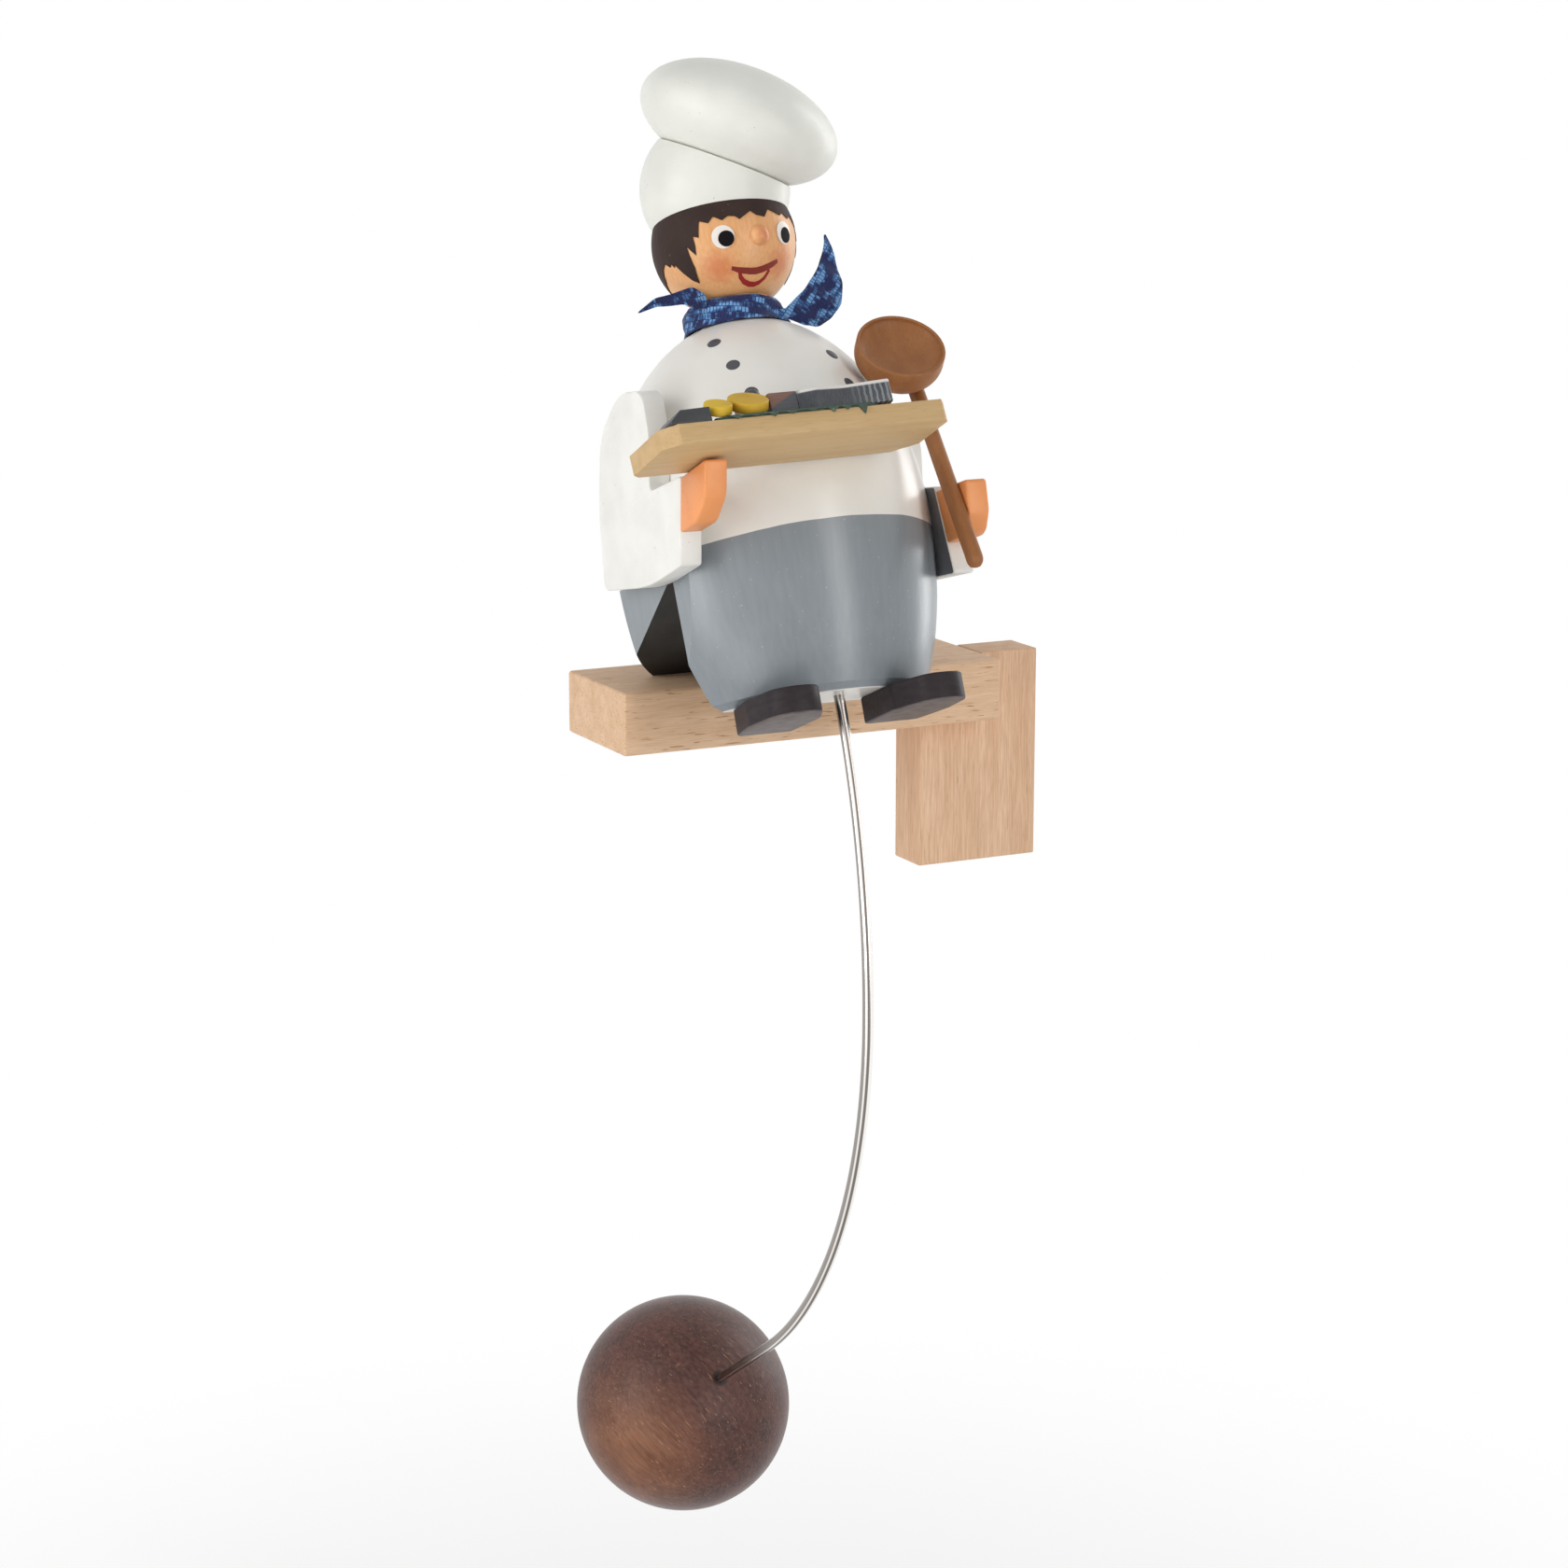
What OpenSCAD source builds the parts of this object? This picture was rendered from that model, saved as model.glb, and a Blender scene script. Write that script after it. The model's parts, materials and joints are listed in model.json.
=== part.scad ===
/* [Perch] */
// Length of the perch beam
beam_len = 100; // [90:1:130]
// Depth of the perch beam, front to back
beam_depth = 33; // [28:1:40]
// Height of the perch beam
beam_h = 15; // [12:1:20]
// How far the beam's front face stands in front of the rocking edge
beam_front = 17.4; // [14:0.2:20]
// How far the beam reaches to the figure's right of its centre
beam_left = 40; // [38:1:50]
// Width of the post
post_w = 32.6; // [28:0.2:40]
// Thickness of the post, front to back
post_t = 12.6; // [10:0.2:16]
// Length of the post stub below the beam's top
post_h = 52; // [40:1:80]
// Width of the beam's seat in the post
seat_w = 17; // [12:0.5:20]

/* [Pose] */
// Backward lean of the figure when it is balanced
lean = 21.7; // [18:0.1:25]

/* [Torso] */
// Largest radius of the turned torso
torso_r = 37.7; // [36:0.1:39]
// Height of the torso from its sole to its neck
torso_h = 92.7; // [90:0.1:95]
// Height of the widest place above the sole
waist_z = 42; // [40:0.5:44]
// Radius of the torso's flat top, on which the neck stands
torso_top_r = 10.76; // [9.6:0.01:12]
// Reach of the lower half of the torso's oval
hip_reach = 67.6; // [64:0.1:72]
// Distance of each sawn side flat from the middle
flat_x = 31.7; // [30.5:0.1:33]

/* [Head and hat] */
// Radius of the head
head_r = 17; // [16:0.1:18]
// Height of the head's centre above the torso's top
head_rise = 20.9; // [19.8:0.1:22.3]
// Radius of the hat's band
band_r = 17.9; // [17.4:0.1:18.4]
// Lean of the hat's crown
crown_tilt = 32; // [25:0.1:40]
// Direction in which the crown leans, turned from the figure's left
crown_turn = -47.9; // [-70:0.1:-20]
// Largest radius of the crown
crown_r = 24.4; // [22:0.1:26]
// Half of the crown's thickness
crown_half = 13.2; // [13:0.1:15]

/* [Arms and tray] */
// Thickness of the arm boards and the hands
arm_t = 5.5; // [4.5:0.1:6.5]
// Width of the tray
tray_w = 70.4; // [64:0.2:72]
// Depth of the tray
tray_d = 22; // [18:0.2:24]
// Thickness of the tray
tray_t = 4.7; // [4:0.1:6]
// Diameter of the spoon's bowl
spoon_d = 21; // [18:0.1:21.6]

/* [Counterweight] */
// Diameter of the steel rod
rod_d = 2.5; // [2:0.1:3]
// Radius of the rod's upper bend
upper_bend_r = 179; // [170:1:200]
// Radius of the rod's lower bend
lower_bend_r = 116; // [108:0.5:128]
// Radius of the ball across its bore
ball_r = 27.8; // [26.5:0.1:29]
// Half of the ball's length along its bore
ball_half = 26.8; // [26:0.1:28]
// Diameter of the weight inside the ball
weight_d = 12; // [8:0.5:16]
// Length of the weight inside the ball
weight_len = 7.24; // [4:0.001:16]

/* [Hidden] */
$fn = 96;
eps = 0.01;

// Where the rocking edge lies on the torso, from the centre of its sole
edge_y = 24.5;
edge_z = 16.4;
// The top corner of the notch
apex_y = -10.2;
apex_z = 33.2;
// How far the front wall of the notch leans off the torso's axis
front_wall_lean = 3.2;
// Room under the seat: the figure rocks back by this much before the seat lies flat
seat_room = 12;
// Air between the rocking edge and the beam, so that the two never overlap
edge_gap = 0.02;

wood_white = "#eceae4";
trouser_grey = "#7f909a";
skin = "#eda86e";
beech = "#d9ab83";
steel = "#c4c6c8";
walnut = "#54321f";

rod_r = rod_d / 2;
// The rod's exit from the sole, forward of the torso's axis
exit_y = -20.7;
// The rod's depth inside the torso
rod_in_torso = 26;
dowel_r = 3;
peg_r = 2;

post_x = beam_len - beam_left - seat_w;
post_y = -8;
// The middle of the post's sawn end, from the middle of the rocking edge
stand_foot = [post_x + post_w / 2, post_y + post_t / 2, -post_h - edge_gap];

// Points of an arc about c, from angle a0 to a1 in n steps
function arc(c, r, a0, a1, n) =
    [for (i = [0:n]) let (a = a0 + (a1 - a0) * i / n) c + r * [cos(a), sin(a)]];

function unit(v) = v / norm(v);

// One rounded corner at b between a and c, with radius r
function corner(a, b, c, r) =
    let (
        u = unit(a - b),
        w = unit(c - b),
        half = acos(max(-1, min(1, u * w))) / 2,
        reach = r / tan(half),
        centre = b + unit(u + w) * r / sin(half),
        p0 = b + u * reach - centre,
        p1 = b + w * reach - centre,
        a0 = atan2(p0[1], p0[0]),
        swing = atan2(p0[0] * p1[1] - p0[1] * p1[0], p0 * p1)
    )
    arc(centre, r, a0, a0 + swing, 8);

// An outline with rounded corners: each entry is [x, y, radius]
function rounded(pts) =
    let (n = len(pts))
    [for (i = [0:n - 1])
        let (
            a = pts[(i + n - 1) % n],
            b = pts[i],
            c = pts[(i + 1) % n]
        )
        each (b[2] > 0
            ? corner([a[0], a[1]], [b[0], b[1]], [c[0], c[1]], b[2])
            : [[b[0], b[1]]])];

// Reach of the upper half of the torso's oval, which leaves the flat top its radius
dome_reach = (torso_h - waist_z) / sqrt(1 - pow(torso_top_r / torso_r, 2));

// Radius of the turned torso at height z above the sole
function torso_radius(z) =
    let (reach = z > waist_z ? dome_reach : hip_reach)
    torso_r * sqrt(1 - pow((z - waist_z) / reach, 2));

// A place on the torso's own middle plane, seen in the balanced pose
function posed(y, z) =
    let (dy = y - edge_y, dz = z - edge_z)
    [dy * cos(lean) + dz * sin(lean), dz * cos(lean) - dy * sin(lean)];

// Moves what is built about the middle of the rocking edge to the post's sawn end
module from_edge() {
    translate(-stand_foot)
        children();
}

// Puts what is built on the torso's upright axis into the balanced pose
module pose() {
    from_edge()
        rotate([-lean, 0, 0])
            translate([0, -edge_y, -edge_z])
                children();
}

// Extrudes an outline drawn in the middle plane (y, z) from x0 over t
module side_board(outline, x0, t) {
    translate([x0, 0, 0])
        rotate([90, 0, 90])
            linear_extrude(t)
                polygon(outline);
}

// A block with a small chamfer along its four long edges, running along x
module eased_bar(l, d, h, ease) {
    rotate([90, 0, 90])
        linear_extrude(l)
            polygon(rounded([[0, 0, ease], [d, 0, ease], [d, h, ease], [0, h, ease]]));
}

module perch_beam() {
    color(beech)
        from_edge()
            difference() {
                translate([-beam_left, -beam_front, -beam_h - edge_gap])
                    eased_bar(beam_len, beam_depth, beam_h, 0.6);
                perch_dowel_bar();
            }
}

module perch_post() {
    color(beech)
        from_edge()
            difference() {
                translate([post_x, post_y, -post_h - edge_gap])
                    cube([post_w, post_t, post_h]);
                translate([post_x - 1, post_y - 1, -beam_h - edge_gap])
                    cube([seat_w + 1, post_t + 2, beam_h + 1]);
                perch_dowel_bar();
            }
}

perch_dowel_in_beam = 9;
perch_dowel_in_post = 15;

module perch_dowel_bar() {
    translate([post_x + seat_w / 2, post_y + post_t / 2, -beam_h - edge_gap - perch_dowel_in_post])
        cylinder(r = dowel_r, h = perch_dowel_in_post + perch_dowel_in_beam);
}

module perch_dowel() {
    color(beech)
        from_edge()
            perch_dowel_bar();
}

// The turned oval before any cut
module torso_blank() {
    rim = 1.6;
    steps = 30;
    r_low = torso_radius(rim);
    r_sole = torso_radius(0) - rim;
    rotate_extrude()
        polygon(concat(
            [[0, 0], [r_sole, 0]],
            [for (i = [0:steps])
                let (z = rim + (torso_h - rim) * i / steps)
                [torso_radius(z), z]],
            [[0, torso_h]]
        ));
}

// The cut across the back of the torso that lets it sit on the beam
module torso_notch() {
    reach = 60;
    below = 5;
    seat_lean = lean + seat_room;
    side_board([
        [apex_y - (apex_z + below) * tan(front_wall_lean), -below],
        [apex_y, apex_z],
        [edge_y, edge_z],
        [edge_y + reach * cos(seat_lean), edge_z + reach * sin(seat_lean)],
        [edge_y + reach * cos(seat_lean), -below]
    ], -reach, 2 * reach);
}

module side_flats() {
    depth = 12;
    for (side = [-1, 1])
        translate([side > 0 ? flat_x : -flat_x - depth, -60, -1])
            cube([depth, 120, torso_h + 2]);
}

neck_dowel_down = 12;
neck_dowel_up = 12;
arm_peg_y = -6;
arm_peg_z = 56;
arm_peg_in = 8;
arm_peg_out = 3.5;

module arm_peg_hole(side) {
    translate([side * (flat_x - arm_peg_in), arm_peg_y, arm_peg_z])
        rotate([0, side * 90, 0])
            cylinder(r = peg_r, h = arm_peg_in + arm_peg_out);
}

module torso() {
    color(wood_white)
        difference() {
            pose()
                difference() {
                    torso_blank();
                    torso_notch();
                    side_flats();
                    translate([0, 0, torso_h - neck_dowel_down])
                        cylinder(r = dowel_r, h = neck_dowel_down + 1);
                    arm_peg_hole(-1);
                    arm_peg_hole(1);
                }
            from_edge()
                rod_top_hole();
        }
}

foot_t = 6.2;

// Outline of the left foot, seen from above
left_foot_outline = rounded([
    [8.5, -14, 1], [22.5, -14, 1.5], [24.8, -26, 6], [23.5, -40.5, 6], [13, -40.5, 5], [8.5, -30, 5]
]);

// The feet stand a little to the figure's right of the torso's axis
feet_x = -0.75;

module foot(side) {
    pose()
        translate([feet_x + side * 0.75, 0, -foot_t])
            mirror([side < 0 ? 1 : 0, 0, 0])
                linear_extrude(foot_t)
                    polygon(left_foot_outline);
}

module right_foot() { color("#2a2628") foot(-1); }
module left_foot() { color("#2a2628") foot(1); }

// The head stands a little in front of the torso's axis
head_y = -1.2;
head_z = torso_h + head_rise;
neck_r = 8.5;
// Height at which the head ends and the hat begins
rim_z = head_z + 5.8;

module neck_dowel() {
    color(beech)
        pose()
            translate([0, 0, torso_h - neck_dowel_down])
                cylinder(r = dowel_r, h = neck_dowel_down + neck_dowel_up);
}

// The face looks slightly to the figure's left
face_turn = 4;
nose_r = 2.4;
nose_lift = -11;
nose_peg_r = 1.2;
nose_peg_in = 5;

module nose_axis() {
    translate([0, head_y, head_z])
        rotate([0, 0, face_turn])
            rotate([90 - nose_lift, 0, 0])
                children();
}

// Deepest place of the nose's own ball, just sunk to a flat seat on the head
nose_seat = sqrt(head_r * head_r - nose_r * nose_r);

module head() {
    color(skin)
        pose()
            difference() {
                union() {
                    translate([0, head_y, head_z])
                        sphere(r = head_r);
                    translate([0, 0, torso_h])
                        cylinder(r = neck_r, h = 8);
                }
                translate([-30, -30, rim_z])
                    cube(60);
                translate([0, 0, torso_h - 1])
                    cylinder(r = dowel_r, h = neck_dowel_up + 1);
                translate([0, head_y, rim_z - hat_pin_down])
                    cylinder(r = dowel_r, h = hat_pin_down + 1);
                nose_axis() {
                    translate([0, 0, nose_seat - nose_peg_in])
                        cylinder(r = nose_peg_r, h = nose_peg_in + 1);
                    translate([0, 0, nose_seat])
                        cylinder(r = nose_r, h = 5);
                }
            }
}

module nose() {
    color(skin)
        pose()
            nose_axis() {
                translate([0, 0, nose_seat - nose_peg_in])
                    cylinder(r = nose_peg_r, h = nose_peg_in + eps);
                translate([0, 0, nose_seat])
                    rotate_extrude()
                        polygon(concat([[0, 0]], arc([0, 0], nose_r, 0, 90, 12)));
            }
}

hat_pin_down = 7;
hat_pin_up = 6;
band_z = rim_z + 7.6;
crown_gap = 6.6;
crown_lift = 16.9;
crown_dowel_down = 6;
crown_dowel_up = 9;

// The leaning axis of the crown, through the middle of the band
module crown_axis() {
    translate([0, head_y, band_z])
        rotate([0, crown_tilt, crown_turn])
            children();
}

module hat_pin() {
    color(beech)
        pose()
            translate([0, head_y, rim_z - hat_pin_down])
                cylinder(r = dowel_r, h = hat_pin_down + hat_pin_up);
}

module hat_band() {
    color(wood_white)
        pose()
            difference() {
                translate([0, head_y, band_z])
                    sphere(r = band_r);
                translate([-30, -30, rim_z - 60])
                    cube(60);
                crown_axis()
                    translate([-30, -30, crown_gap])
                        cube(60);
                translate([0, head_y, rim_z - 1])
                    cylinder(r = dowel_r, h = hat_pin_up + 1);
                crown_axis()
                    translate([0, 0, crown_gap - crown_dowel_down])
                        cylinder(r = dowel_r, h = crown_dowel_down + 1);
            }
}

module crown_dowel() {
    color(beech)
        pose()
            crown_axis()
                translate([0, 0, crown_gap - crown_dowel_down])
                    cylinder(r = dowel_r, h = crown_dowel_down + crown_dowel_up);
}

module hat_crown() {
    low = crown_gap - crown_lift;
    a0 = asin(low / crown_half);
    color(wood_white)
        pose()
            crown_axis()
                difference() {
                    translate([0, 0, crown_lift])
                        rotate_extrude()
                            polygon(concat(
                                [[0, low]],
                                [for (i = [0:24])
                                    let (a = a0 + (90 - a0) * i / 24)
                                    [crown_r * cos(a), crown_half * sin(a)]]
                            ));
                    translate([0, 0, crown_gap - 1])
                        cylinder(r = dowel_r, h = crown_dowel_up + 1);
                }
}

scarf_z = torso_h + 0.3;
scarf_in = neck_r + 0.3;
scarf_out = 12.6;
scarf_h = 5.6;

scarf_t = 1.2;

// The band's outer outline, from its lower inner corner upwards
scarf_edge = [
    [scarf_out - 1, 0], [scarf_out, 1.4], [scarf_out - 0.6, scarf_h - 1], [scarf_in + 1.4, scarf_h]
];

module scarf_band() {
    color("#25407e")
        pose()
            translate([0, 0, scarf_z])
                rotate_extrude()
                    polygon(concat([[scarf_in, 0.2]], scarf_edge, [[scarf_in, scarf_h - 1]]));
}

// One loose end of the scarf: a leaf at depth y, fitted to the band. Its outline is drawn in
// (x, z), with z from the band's lower edge
module scarf_tail(y, outline) {
    color("#25407e")
        pose()
            difference() {
                translate([0, y + scarf_t / 2, scarf_z])
                    rotate([90, 0, 0])
                        linear_extrude(scarf_t)
                            polygon(outline);
                translate([0, 0, scarf_z])
                    rotate_extrude()
                        polygon(concat([[0, 0]], scarf_edge, [[0, scarf_h]]));
            }
}

module scarf_tail_left() {
    scarf_tail(-10.5, rounded([
        [6.5, 0.2, 0.3], [9.4, -1.2, 0.5], [12.4, -2.7, 1.5], [16, -3.4, 3], [20.2, -1.2, 4],
        [24.4, 3, 4], [25.1, 8, 6], [24.2, 14, 8], [22.7, 20.2, 0.3], [20.8, 14.4, 6],
        [17.4, 9.4, 5], [13.8, 5.7, 5], [8.4, 1.6, 1], [6.5, 1.4, 0.3]
    ]));
}

module scarf_tail_right() {
    scarf_tail(-7, rounded([
        [-9.6, 3.6, 0.3], [-9.8, 6.8, 1], [-12.8, 8.9, 2], [-18.4, 7.4, 5], [-22.8, 6.4, 5],
        [-28.7, 2.6, 0.3], [-22.4, 4.4, 4], [-15.9, 4.7, 3], [-13.1, 3.2, 1]
    ]));
}

module right_arm_peg() { color(beech) pose() arm_peg_hole(-1); }
module left_arm_peg() { color(beech) pose() arm_peg_hole(1); }

// Outlines in (y, z). Each arm ends in a slanting cuff, to which the hand is glued
right_cuff_top = [-35.2, 50.2];
right_cuff_low = [-27.2, 31.4];
left_cuff_top = [-24.5, 46.2];
left_cuff_low = [-26.9, 24.8];

function on_line(a, b, t) = a + (b - a) * t;
function sharp(p, r) = [p[0], p[1], r];

right_arm_outline = rounded([
    [-21.8, 73.6, 4.5], [-9.5, 76.6, 14], [4.5, 70.5, 14], [12.2, 55, 40], [16.3, 36, 2],
    [-8, 31, 60], sharp(right_cuff_low, 0.8), sharp(right_cuff_top, 0.8),
    [-17.2, 51.2, 1.5], [-21.8, 63.5, 8]
]);
left_arm_outline = rounded([
    [-12.5, 69, 4.5], [-2, 72, 14], [10, 66.5, 14], [17.5, 52, 30], [19.5, 33.5, 2],
    [-4, 27.9, 60], sharp(left_cuff_low, 0.8), sharp(left_cuff_top, 0.8),
    [-9.8, 49.6, 1.5], [-12, 58, 8]
]);
right_hand_outline = rounded([
    sharp(on_line(right_cuff_top, right_cuff_low, 0.02), 0),
    sharp(on_line(right_cuff_top, right_cuff_low, 0.63), 0),
    [-39, 38.3, 5], [-46, 42.4, 6], [-49.3, 50.3, 0.8]
]);
left_hand_outline = rounded([
    sharp(on_line(left_cuff_top, left_cuff_low, 0.05), 0),
    sharp(on_line(left_cuff_top, left_cuff_low, 0.65), 0),
    [-35.4, 31.8, 3.5], [-38.8, 36.6, 4], [-39.8, 44, 1]
]);

// A board lying on one of the torso's side flats
module flat_board(side, outline) {
    side_board(outline, side > 0 ? flat_x : -flat_x - arm_t, arm_t);
}

module arm(side, outline) {
    color(wood_white)
        pose()
            difference() {
                flat_board(side, outline);
                arm_peg_hole(side);
            }
}

module right_arm() { arm(-1, right_arm_outline); }
module left_arm() { arm(1, left_arm_outline); }
module right_hand() { color(skin) pose() flat_board(-1, right_hand_outline); }
module left_hand() { color(skin) pose() flat_board(1, left_hand_outline); }

tray_x = -50.2;
tray_front_y = -59.3;
tray_front_z = 51.2;
tray_tilt = -4;
tray_roll = -2;

// The tray's own frame: x along its front, y towards the belly, z on its top
module tray_frame() {
    translate([tray_x, tray_front_y, tray_front_z])
        rotate([tray_tilt, tray_roll, 0])
            children();
}

module tray_board() {
    clip = 4.5;
    color("#d9ad6a")
        pose()
            tray_frame()
                linear_extrude(tray_t)
                    polygon([
                        [clip * 0.8, 0], [tray_w - clip * 0.4, 0], [tray_w, clip * 0.6],
                        [tray_w, tray_d - clip], [tray_w - clip * 1.2, tray_d],
                        [clip * 0.4, tray_d], [0, tray_d - clip * 0.4], [0, clip * 0.8]
                    ]);
}

// One flat piece of food lying on the tray
module food(outline, lift, thick) {
    pose()
        tray_frame()
            translate([0, 0, tray_t + lift])
                linear_extrude(thick)
                    polygon(outline);
}

leaf_t = 0.8;
fish_t = 5.2;

module salad_leaf() {
    color("#3c5a34")
        food(rounded([
            [13.2, 1.2, 0.5], [17, 0.4, 0.5], [22, 1, 0.5], [27, 0.2, 0.5], [32, 1.2, 0.5], [38, 0.1, 0.5],
            [43, 1, 0.5], [48, -0.2, 0.5], [53, 1.2, 0.5], [54.5, 4, 1], [51, 14, 3], [37, 16, 6],
            [24, 15, 4], [14, 8, 3]
        ]), 0, leaf_t);
}

// The head's block: its nose is cut down to a wedge
module fish_head() {
    color("#3f444a")
        pose()
            tray_frame()
                translate([0, 10, tray_t])
                    rotate([90, 0, 0])
                        linear_extrude(9.8)
                            polygon([[2.2, 0], [12, 0], [12, 3.3], [4.9, 3.1], [2.2, 0.7]]);
}

module fish_fillet() {
    color("#6d4634")
        food([[28.1, 3.2], [35, 3.2], [35, 14], [24.5, 14], [24.5, 8.7], [28.1, 8.7]], leaf_t, fish_t);
}

module fish_tail() {
    color("#59636c")
        food(rounded([
            [35, 3.2, 0], [39, 1.6, 2], [46, 2.2, 6], [57, 0.3, 0.8], [58.6, 8.5, 0.8], [57, 17, 0.8],
            [46, 13.6, 6], [39, 14.6, 2], [35, 14, 0]
        ]), leaf_t, fish_t);
}

lemon_lean = 36;
lemon_t = 2.3;

// A slice that stands on its front edge and leans back
module lemon_slice(u, r) {
    color("#e3b02f")
        pose()
            tray_frame()
                translate([u, 1.2, tray_t + leaf_t])
                    rotate([lemon_lean, 0, 0])
                        translate([0, r, 0])
                            cylinder(r = r, h = lemon_t);
}

module lemon_slice_1() { lemon_slice(15.3, 3.2); }
module lemon_slice_2() { lemon_slice(23.3, 4.6); }

olive_r = 1.85;
olive_seat = 1.7;

module olive() {
    color("#3a3a3e")
        pose()
            tray_frame()
                translate([28, 10.6, tray_t + leaf_t + fish_t + olive_seat])
                    difference() {
                        sphere(r = olive_r);
                        translate([-3, -3, -olive_seat - 3])
                            cube([6, 6, 3]);
                    }
}

// The spoon's flat handle stands against the inner face of the left hand
stick_t = 3;
stick_w = 4.3;
stick_top_w = 3.8;
spoon_low = [flat_x - stick_t / 2, -40.2, 25.3];
spoon_lean = 17.2;
spoon_len = 51;

module spoon_axis() {
    translate(spoon_low)
        rotate([-spoon_lean, 0, 0])
            children();
}

module spoon_stick() {
    spoon_axis()
        side_board(rounded([
            [-stick_w / 2, -stick_w / 2, 2.1], [stick_w / 2, -stick_w / 2, 2.1],
            [stick_top_w / 2, spoon_len, 0], [-stick_top_w / 2, spoon_len, 0]
        ]), -stick_t / 2, stick_t);
}

// The bowl's own frame: its hollow looks along its z axis, from the middle of its rim
module bowl_frame() {
    translate([25.4, -32.2, 78.3])
        rotate([0, 0, -7])
            rotate([90 - 32, 0, 0])
                children();
}

bowl_side = 3;
bowl_back = 7.5;
bowl_wall = 1;
hollow_depth = 3.4;

// Outline of half a dish of radius r and depth d, from its lowest point outwards
function dish(r, d) = [for (i = [0:16]) let (a = -90 + 90 * i / 16) [r * cos(a), d * sin(a)]];

module spoon_bowl() {
    color("#8b4a24")
        pose()
            difference() {
                bowl_frame() {
                    translate([0, 0, -bowl_side])
                        cylinder(d = spoon_d, h = bowl_side);
                    translate([0, 0, -bowl_side])
                        rotate_extrude()
                            polygon(concat([[0, 0]], dish(spoon_d / 2, bowl_back)));
                }
                bowl_frame()
                    translate([0, 0, eps])
                        rotate_extrude()
                            polygon(concat([[0, 0]], dish(spoon_d / 2 - bowl_wall, hollow_depth)));
                spoon_stick();
            }
}

module spoon_handle() {
    color("#8b4a24")
        pose()
            spoon_stick();
}

// The rod lies in the middle plane, where everything is [y, z] from the rocking edge
rod_exit = posed(exit_y, 0);
upper_turn = 23.6;
lower_turn = 56.9;
// Straight length between the two bends, at the foremost place of the bow
bow_len = 2;
bow_y = rod_exit[0] - upper_bend_r * (1 - cos(upper_turn));
bow_z = rod_exit[1] - upper_bend_r * sin(upper_turn) - bow_len;
lower_c = [bow_y + lower_bend_r, bow_z];
lower_end = lower_c - lower_bend_r * [cos(lower_turn), sin(lower_turn)];
straight_len = 59.3;
ball_c = lower_end + straight_len * [sin(lower_turn), -cos(lower_turn)];
rod_in_ball = 20;
// The straight lengths are a hair thicker than the bends, so that each bend ends inside one
straight_r = rod_r + 0.005;
lap = 0.2;

// The rod's upper end, looking up into the torso
module rod_top_axis() {
    translate([0, rod_exit[0], rod_exit[1]])
        rotate([-upper_turn, 0, 0])
            children();
}

module rod_top_hole() {
    rod_top_axis()
        translate([0, 0, -6])
            cylinder(r = straight_r, h = rod_in_torso + 6);
}

// The ball's own axis: it runs along the rod into the ball, from the ball's middle
module ball_axis() {
    translate([0, ball_c[0], ball_c[1]])
        rotate([lower_turn - 180, 0, 0])
            children();
}

// A round bend in the middle plane about c, from angle a0 over sweep
module bend(c, r, a0, sweep) {
    translate([0, c[0], c[1]])
        rotate([90, 0, 90])
            rotate([0, 0, a0])
                rotate_extrude(angle = sweep)
                    translate([r, 0])
                        circle(r = rod_r);
}

module rod() {
    color(steel)
        from_edge() {
            rod_top_axis()
                translate([0, 0, -lap])
                    cylinder(r = straight_r, h = rod_in_torso + lap);
            bend([bow_y + upper_bend_r, bow_z + bow_len], upper_bend_r, 180 - upper_turn, upper_turn);
            translate([0, bow_y, bow_z - lap])
                cylinder(r = straight_r, h = bow_len + 2 * lap);
            bend(lower_c, lower_bend_r, 180, lower_turn);
            ball_axis()
                translate([0, 0, -straight_len - lap])
                    cylinder(r = straight_r, h = straight_len + lap - ball_half + rod_in_ball);
        }
}

plug_len = 4;
plug_end = sqrt(1 - pow(weight_d / 2 / ball_r, 2)) * ball_half;
weight_end = plug_end - plug_len;

module ball_blank() {
    rotate_extrude()
        polygon([for (i = [0:36])
            let (a = -90 + 180 * i / 36)
            [ball_r * cos(a), ball_half * sin(a)]]);
}

module ball() {
    color(walnut)
        from_edge()
            ball_axis()
                difference() {
                    ball_blank();
                    translate([0, 0, -ball_half - 1])
                        cylinder(r = straight_r, h = rod_in_ball + 1);
                    translate([0, 0, weight_end - weight_len])
                        cylinder(d = weight_d, h = 2 * ball_half);
                }
}

module ball_weight() {
    color(steel)
        from_edge()
            ball_axis()
                translate([0, 0, weight_end - weight_len])
                    cylinder(d = weight_d, h = weight_len);
}

module ball_plug() {
    color(walnut)
        from_edge()
            ball_axis()
                intersection() {
                    ball_blank();
                    translate([0, 0, weight_end])
                        cylinder(d = weight_d, h = ball_half);
                }
}

perch_beam();
perch_post();
perch_dowel();
torso();
right_foot();
left_foot();
neck_dowel();
head();
nose();
hat_pin();
hat_band();
crown_dowel();
hat_crown();
scarf_band();
scarf_tail_right();
scarf_tail_left();
right_arm_peg();
left_arm_peg();
right_arm();
left_arm();
right_hand();
left_hand();
tray_board();
salad_leaf();
fish_head();
fish_fillet();
fish_tail();
lemon_slice_1();
lemon_slice_2();
olive();
spoon_bowl();
spoon_handle();
rod();
ball();
ball_weight();
ball_plug();
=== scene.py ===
# %% [markdown]
# # A balancing toy: the cook on the perch
# A turned wooden figure sits on the edge of a beam. A steel rod under it carries a heavy
# ball, which keeps the whole figure upright. Blender works in metres here, in the frame of
# the solid model: the origin is the middle of the post's sawn end, X runs along the beam,
# Y from the figure's front to its back, and Z is up. The sizes are written in millimetres,
# as a maker would, and a matrix turns them into metres when a piece is put in its place.

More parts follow.
